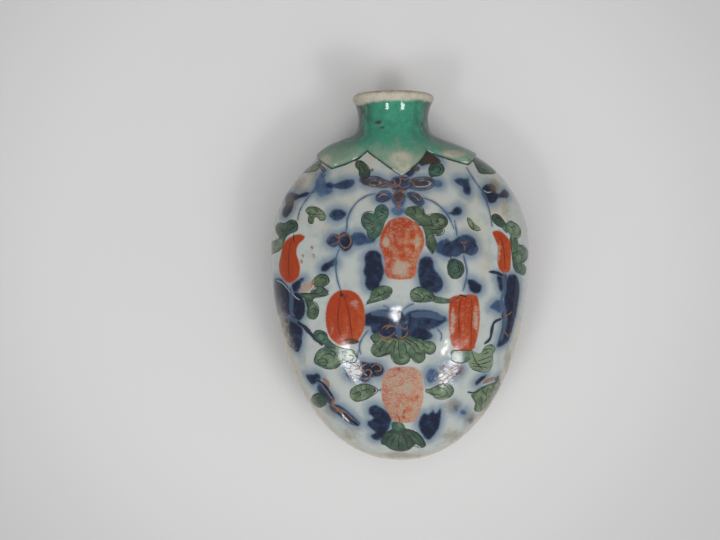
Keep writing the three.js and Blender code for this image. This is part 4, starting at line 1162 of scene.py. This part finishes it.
class BOTTLE_OT_glaze(bpy.types.Operator):
    """Fire the drawing: turn its distances into glaze, enamel, gilding and wear"""
    bl_idname = "bottle.glaze"
    bl_label = "Glaze the bottle"

    def execute(self, context):
        glaze = context.scene.bottle_glaze
        made = bpy.data.materials.new("glazed_porcelain")
        made.use_nodes = True
        tree = made.node_tree
        surface = next(n for n in tree.nodes if n.type == "BSDF_PRINCIPLED")
        surface.inputs["IOR"].default_value = GLAZE_IOR

        def field(name, output=1):
            return add_node(tree, "ShaderNodeAttribute", {"attribute_name": name}, {}, output)

        at = add_node(tree, "ShaderNodeTexCoord", {}, {}, 3).times(1 / MM)
        across_at, along, _ = at.parts()
        leaf, fruit, blue = field("paint").parts()
        leaf_hue, leaf_depth, blue_depth = field("tones").parts()
        fruit_u, fruit_v, fruit_kind = field("fruit_at").parts()
        bare, stain, cream = field("wear").parts()
        collar, inside, facing = field("form").parts()
        grime = field("grime", 2)
        outside = 1 - inside

        # Wandering of every painted edge, and the mottling that all colours share.
        wander = at.noise(1.1, 3.0, 0.6) - 0.5
        fine = at.noise(5.0, 3.0, 0.65) - 0.5
        broad = at.noise(0.22, 3.0, 0.55)
        mottle = at.noise(0.75, 4.0, 0.6, 0.4)
        speck = at.noise(3.2, 5.0, 0.7)
        runs = at.times((1.0, 0.22, 1.0)).noise(0.55, 4.0, 0.6)
        shift = wander * 0.4 + fine * 0.14

        # Glaze ground, with cream and pinkish runs down the bottle.
        warm = (broad * 0.5 + runs * 0.7 + (mottle - 0.5) * 0.4 + (cream - 0.5) * 0.3
                + along.step(-6, 16) * 0.16).step(0.5, 0.86) * 0.85
        ground = warm.mix(glaze.ground, glaze.ground_warm)
        ground = (speck.step(0.6, 0.72) * 0.3).mix(ground, glaze.ground_warm)
        cloud = at.noise(0.4, 3.0, 0.6, 0.3).step(0.46, 0.72) * 0.26
        ground = cloud.mix(ground, glaze.blue_pale)

        # Cobalt: a wide pale halo where it bled, a wash that pools, soft rims.
        blue_in = blue + shift
        halo = blue_in.step(-2.6, -0.1)
        ground = (halo * halo * 0.75).mix(ground, glaze.blue_pale)
        pool = (blue_depth + (mottle - 0.5) * 0.9 + fine * 0.4
                - (1 - blue_in.step(-0.2, 0.6)) * 0.2)
        cobalt = pool.ramp((0.0, glaze.blue_pale), (0.5, glaze.blue), (0.95, glaze.blue_deep))
        painted = blue_in.step(-0.28, 0.2).mix(ground, cobalt)

        # Brush lines, from the two nearest lines at every face corner.
        lines = []
        for name in ("line_a", "line_b"):
            across, half, kind = field(name).parts()
            wavy = abs(across + fine * 0.09)
            thick = half * (1 + (mottle - 0.5) * 0.6)
            body = (thick - wavy).step(-0.03, 0.03) * half.step(0.0, 0.02)
            bleed = (thick - wavy).step(-0.5, 0.05) * half.step(0.0, 0.02)
            lines.append((body, bleed, kind))

        def drawn(wanted, spread=0):
            masks = [line[spread] * line[2].between(wanted - 0.5, wanted + 0.5) for line in lines]
            return masks[0].over(masks[1])

        broken = mottle.step(0.3, 0.46)
        painted = (drawn(VINE, 1) * 0.45).mix(painted, glaze.blue_pale)
        painted = (drawn(VINE) * (0.45 + broken * 0.35)).mix(painted, glaze.blue)
        painted = (drawn(NAVY, 1) * 0.4).mix(painted, glaze.blue_pale)
        painted = (drawn(NAVY) * 0.95).mix(painted, glaze.blue_deep)

        # Green enamel, translucent and pooled.
        leaf_in = leaf + shift * 0.6
        green = (leaf_hue + (broad - 0.5) * 0.8).clip().mix(glaze.teal, glaze.olive)
        deep = (leaf_depth * 0.9 + 0.04 + (mottle - 0.5) * 1.5 + fine * 0.5
                + (0.5 - leaf_in.step(0.0, 0.9)) * 0.2).clip()
        green = deep.step(0.45, 0.95).mix(green, glaze.leaf_dark)
        green = (1 - deep).step(0.45, 0.95).mix(green, glaze.leaf_pale)
        leaf_mask = leaf_in.step(-0.07, 0.09)
        painted = (leaf_mask * 0.94).mix(painted, green)

        # Iron red: ribs, a paler right side, worn patches. Brush streaks run down the fruit.
        fruit_in = fruit + shift * 0.6
        streak = add_node(tree, "ShaderNodeCombineXYZ", {}, {
            0: fruit_u * 3.0, 1: fruit_v * 0.5, 2: fruit_kind * 7.0}).noise(1.6, 4.0, 0.65)
        pale = (fruit_kind.math("FRACT", fruit_kind) * 0.8 + (streak - 0.5) * 1.1
                + (mottle - 0.5) * 0.6 + fruit_u * 0.2 - fruit_v.step(0.3, 1.0) * 0.3).clip()
        red = pale.step(0.05, 0.75).mix(glaze.red, glaze.orange)
        worn = bare.over(fruit_kind.math("FRACT", fruit_kind))
        rub = (worn * 1.1 + (mottle - 0.5) * 1.3 + (speck - 0.5) * 0.9).step(0.25, 0.98)
        rub = rub * worn.step(0.02, 0.3)
        red = (rub * 0.92).mix(red, glaze.rubbed)
        red = ((speck.step(0.56, 0.68) * (0.25 + worn))).clip().mix(red, glaze.rubbed)
        rim = (1 - fruit_in.step(0.05, 0.5)) * 0.35 * (1 - rub)
        red = rim.mix(red, glaze.red)
        fruit_mask = fruit_in.step(-0.16, 0.22) * (1 - rub * (speck - 0.2).step(0.2, 0.5) * 0.5)
        painted = fruit_mask.mix(painted, red)
        dark_red = tuple(c * 0.35 for c in glaze.red[:3]) + (1.0,)
        painted = (drawn(RIB, 1) * (1 - rub) * 0.35).mix(painted, glaze.red)
        painted = (drawn(RIB) * (1 - rub * 0.8) * 0.7).mix(painted, dark_red)

        # Ink and gilding.
        painted = (drawn(BROWN) * 0.75).mix(painted, glaze.brown)
        painted = (drawn(PALE) * 0.7).mix(painted, glaze.ground)
        ink_line = drawn(INK) * (0.62 + broken * 0.33)
        painted = ink_line.mix(painted, glaze.ink)
        gold_line = drawn(GOLD) * (0.25 + broken * 0.55)
        painted = gold_line.mix(painted, glaze.gold)

        # Along the lower silhouette, where the body turns away from the view, it is painted cream
        # with brown mottles: partly worn, dirty glaze, partly painted shade and painted reflection
        # of the floor where the side turns under.
        edge = (1 - (facing + (mottle - 0.5) * 0.35).step(0.42, 0.72)) * (-2 - along).step(0, 10)
        painted = (edge * (1 - leaf_mask * 0.6) * 0.85).mix(painted, glaze.ground_warm)
        stains = ((mottle - 0.5) * 1.6 + (speck - 0.5) * 0.9 + 0.3).step(0.3, 0.8)
        painted = (edge * stains * 0.7).mix(painted, glaze.grime)

        # Grime, thicker towards the edges and the base.
        dirt = (grime * 1.1 + (mottle - 0.5) * 1.4 + (speck - 0.5) * 0.9).step(0.3, 1.0)
        dirt = dirt * grime.step(0.0, 0.25) * (1 - fruit_mask * 0.5)
        pores = speck.step(0.66, 0.76) * (0.12 + grime)
        painted = (dirt * 0.5).mix(painted, glaze.grime)
        painted = (pores.clip() * 0.5).mix(painted, glaze.grime)

        # Neck and collar: green that thins to cream down the lappets.
        on_collar = (collar + fine * 0.06).step(-0.05, 0.05)
        thin = (25.2 - along) * 0.2 + (mottle - 0.5) * 1.3 + (runs - 0.5) * 1.2 + fine * 0.4
        pooled = 1 - collar.step(0.05, 0.9)
        green = (mottle * 0.6 + broad * 0.4 + fine * 0.2).step(0.34, 0.84).mix(
            glaze.collar, glaze.collar_dark)
        green = (thin.step(-0.3, 0.8) * 0.7).mix(green, glaze.collar_pale)
        green = ((cream + (mottle - 0.5) * 0.9 + (speck - 0.5) * 0.6).step(0.05, 1.0) * 0.9).mix(
            green, glaze.collar_pale)
        green = (cream.step(0.4, 0.8) * mottle.step(0.3, 0.55) * 0.9).mix(green, glaze.ground_warm)
        green = (pooled * 0.7 * (1 - cream * 0.3)).mix(green, glaze.collar_dark)
        # Painted shade: the neck darkens to ink where it turns away from the view.
        painted_shade = (1 - facing.step(0.2, 0.92)) * along.step(20, 26) * (0.8 + (mottle - 0.5) * 1.6)
        green = painted_shade.clip().mix(green, glaze.ink)
        # Dark runs down the neck where it turns away from the view: partly streaks in the glaze,
        # partly painted shade.
        dark = runs.step(0.46, 0.6) * (1 - facing.step(0.45, 0.93)) * along.step(24, 27)
        green = (dark * 0.75).mix(green, glaze.ink)
        freckle = speck.step(0.6, 0.68) * 0.55
        green = freckle.mix(green, glaze.brown)
        painted = on_collar.mix(painted, green)
        # A dark line along the lappets' edge, on both sides: partly the drawn outline, partly
        # painted shadow under the raised lappets.
        edge_line_and_shadow = (1 - abs(collar + fine * 0.2).step(0.05, 0.28)) * (0.55 + broken * 0.4)
        painted = edge_line_and_shadow.mix(painted, glaze.ink)
        brown = (stain * 1.2 + (mottle - 0.5) * 0.8 + (speck - 0.5) * 0.5).step(0.3, 0.6)
        painted = (brown * stain.step(0.02, 0.2) * 0.85).mix(painted, glaze.brown)

        # The unglazed rim, its edge of the green slanting, and the plain inside.
        drop = RIM_Y - along
        rim_line = drop + (at.noise(0.45, 2.0) - 0.5) * 0.7 + across_at * 0.045
        raw = 1 - rim_line.step(1.55, 2.25)
        bisque = (mottle.step(0.4, 0.62) * 0.2).mix(glaze.bisque, glaze.grime)
        rust = (1 - drop.step(0.1, 1.1)) * (0.25 + mottle.step(0.4, 0.7) * 0.5)
        bisque = rust.mix(bisque, glaze.gold)
        bisque = (speck.step(0.56, 0.66) * 0.5).mix(bisque, glaze.grime)
        painted = (raw * 0.96).mix(painted, bisque)
        inner = (mottle.step(0.45, 0.65) * 0.4).mix(glaze.ground, glaze.grime)
        painted = (inside * drop.step(0.8, 1.2)).mix(painted, inner)

        rough = (glaze.roughness + leaf_mask * 0.04 + fruit_mask * 0.04 + dirt * 0.25
                 + gold_line * 0.12 + raw * 0.5 + speck.step(0.62, 0.7) * 0.03
                 + rub * fruit_mask * 0.15 + inside * 0.1)
        height = (leaf_mask * 0.8 + fruit_mask * 0.5 + ink_line * 0.4 + gold_line * 0.3
                  - rub * fruit_mask * 0.4) * glaze.relief * outside
        height = height + (at.noise(1.6, 2.0) * 0.0015 + speck * 0.0005 + broad * 0.015)
        # The rest of the height: ripples and pores in the glaze, deeper on the neck.
        on_neck = along.step(24, 27)
        height = height + at.noise(0.6, 1.5) * NECK_WAVES * on_neck
        height = height + mottle.step(0.5, 0.6) * (-8 - along).step(0, 6) * 0.006
        bump = add_node(tree, "ShaderNodeBump", {}, {
            "Strength": 1.0, "Distance": MM, "Height": height})
        for socket, value in (("Base Color", painted), ("Roughness", rough.clip()),
                              ("Normal", bump)):
            tree.links.new(value.socket, surface.inputs[socket])
        bpy.data.objects[PIECE].data.materials.append(made)
        return {"FINISHED"}


# ---------------------------------------------------------------- the stage

class StageSettings(bpy.types.PropertyGroup):
    floor: colour("Floor", "Colour of the floor", (218, 217, 217))
    lens: FloatProperty(name="Lens", description="Focal length of the camera",
                        default=62.4, unit="CAMERA")
    left_soft: FloatProperty(name="Left panel", description="Power of the wide left lamp",
                             default=0.48, unit="POWER")
    top_soft: FloatProperty(name="Top panel", description="Power of the wide lamp overhead",
                            default=1.15, unit="POWER")
    right_soft: FloatProperty(name="Right panel", description="Power of the wide right lamp",
                              default=1.15, unit="POWER")
    glint: FloatProperty(name="Glint", default=26.0, min=0,
                         description="Brightness of the small lamps that the glaze mirrors")
    key: FloatProperty(name="Key", default=13.0, min=0,
                       description="Brightness of the two lamps that the neck mirrors")
    sky: FloatProperty(name="Sky", description="Brightness of the light all round",
                       default=0.295)


class BOTTLE_OT_stage(bpy.types.Operator):
    """Add the floor, the lamps and the camera over the bottle"""
    bl_idname = "bottle.stage"
    bl_label = "Set the stage"

    def execute(self, context):
        stage = context.scene.bottle_stage
        deselect()
        bpy.ops.mesh.primitive_plane_add(size=FLOOR_SIZE, location=(0, 0, -FLOOR_DROP))
        floor = context.object
        floor.name = "floor"
        bpy.ops.object.transform_apply(location=True, rotation=True, scale=True)
        floor.data.materials.append(self.paper(stage))
        for side, power in ((-1, stage.left_soft), (1, stage.right_soft)):
            name = "panel_left" if side < 0 else "panel_right"
            x, y, z = PANEL_WAY
            panel = self.lamp(name, (x * side, y, z), LAMP_AWAY, *PANEL_SIZE, power)
            panel.visible_glossy = False
        top = self.lamp("panel_top", (0, 0, 1), TOP_AWAY, *TOP_SIZE, stage.top_soft)
        top.visible_glossy = False
        for name, way, width in KEYS:
            self.lamp(name, way, LAMP_AWAY, width, KEY_LENGTH,
                      stage.key * math.pi * width * KEY_LENGTH, NECK_FRONT)
        mesh = bpy.data.objects[PIECE].data
        tree = BVHTree.FromPolygons([v.co / MM for v in mesh.vertices],
                                    [tuple(p.vertices) for p in mesh.polygons])
        for number, (x, y, width, height) in enumerate(GLINTS):
            place, normal = seen_at(tree, x, y)
            view = (Vector(EYE) - place).normalized()
            way = 2 * view.dot(normal) * normal - view
            self.lamp(f"glint_{number + 1}", way, LAMP_AWAY, width, height,
                      stage.glint * math.pi * width * height, place * MM)
        world = context.scene.world or bpy.data.worlds.new("studio")
        context.scene.world = world
        world.use_nodes = True
        sky = world.node_tree.nodes["Background"]
        sky.inputs["Color"].default_value = (1.0, 1.0, 1.0, 1.0)
        sky.inputs["Strength"].default_value = stage.sky
        bpy.ops.object.camera_add(location=tuple(EYE * MM), rotation=(0, 0, 0))
        camera = context.object
        camera.name = "camera"
        camera.data.lens = stage.lens
        camera.data.sensor_width = 36
        camera.data.clip_start = 0.01
        context.scene.camera = camera
        context.scene.view_settings.view_transform = "Standard"
        return {"FINISHED"}

    def paper(self, stage):
        """Matt paper, its colour darkened a little away from the bottle: a painted falloff of the
        light.
        """
        paper = bpy.data.materials.new("floor_paper")
        paper.use_nodes = True
        tree = paper.node_tree
        surface = next(n for n in tree.nodes if n.type == "BSDF_PRINCIPLED")
        surface.inputs["Roughness"].default_value = 0.8
        at = add_node(tree, "ShaderNodeTexCoord", {}, {}, 3)
        away = add_node(tree, "ShaderNodeVectorMath", {"operation": "DISTANCE"},
                        {0: at, 1: PAPER_MIDDLE}, 1)
        dim = tuple(c * PAPER_DIM for c in stage.floor[:3]) + (1.0,)
        painted_shade = away.step(*PAPER_FADE).mix(tuple(stage.floor), dim)
        tree.links.new(painted_shade.socket, surface.inputs["Base Color"])
        return paper

    def lamp(self, name, way, distance, width, height, power, middle=(0, 0, AXIS_Z * MM)):
        """A panel in a direction from a point, facing it."""
        middle = Vector(middle)
        way = Vector(way).normalized()
        bpy.ops.object.light_add(type="AREA", location=middle + way * distance)
        lamp = bpy.context.object
        lamp.name = name
        lamp.data.shape = "RECTANGLE"
        lamp.data.size, lamp.data.size_y = width, height
        lamp.data.energy = power
        lamp.rotation_euler = (-way).to_track_quat("-Z", "Y").to_euler()
        return lamp


class BOTTLE_PT_panel(bpy.types.Panel):
    bl_label = "Snuff bottle"
    bl_idname = "BOTTLE_PT_panel"
    bl_space_type = "VIEW_3D"
    bl_region_type = "UI"
    bl_category = "Snuff bottle"

    def draw(self, context):
        for step in STEPS:
            self.layout.operator(step.bl_idname)
        for group in ("bottle_form", "bottle_glaze", "bottle_stage"):
            settings = getattr(context.scene, group)
            for name in settings.__annotations__:
                self.layout.prop(settings, name)


STEPS = (BOTTLE_OT_vessel, BOTTLE_OT_drawing, BOTTLE_OT_glaze, BOTTLE_OT_stage)
CLASSES = (FormSettings, GlazeSettings, StageSettings, *STEPS, BOTTLE_PT_panel)


def register():
    for made in CLASSES:
        bpy.utils.register_class(made)
    bpy.types.Scene.bottle_form = PointerProperty(type=FormSettings)
    bpy.types.Scene.bottle_glaze = PointerProperty(type=GlazeSettings)
    bpy.types.Scene.bottle_stage = PointerProperty(type=StageSettings)


def unregister():
    del bpy.types.Scene.bottle_form
    del bpy.types.Scene.bottle_glaze
    del bpy.types.Scene.bottle_stage
    for made in reversed(CLASSES):
        bpy.utils.unregister_class(made)


def main():
    register()
    bpy.ops.bottle.vessel()
    bpy.ops.bottle.drawing()
    bpy.ops.bottle.glaze()
    bpy.ops.bottle.stage()


if __name__ == "__main__":
    main()
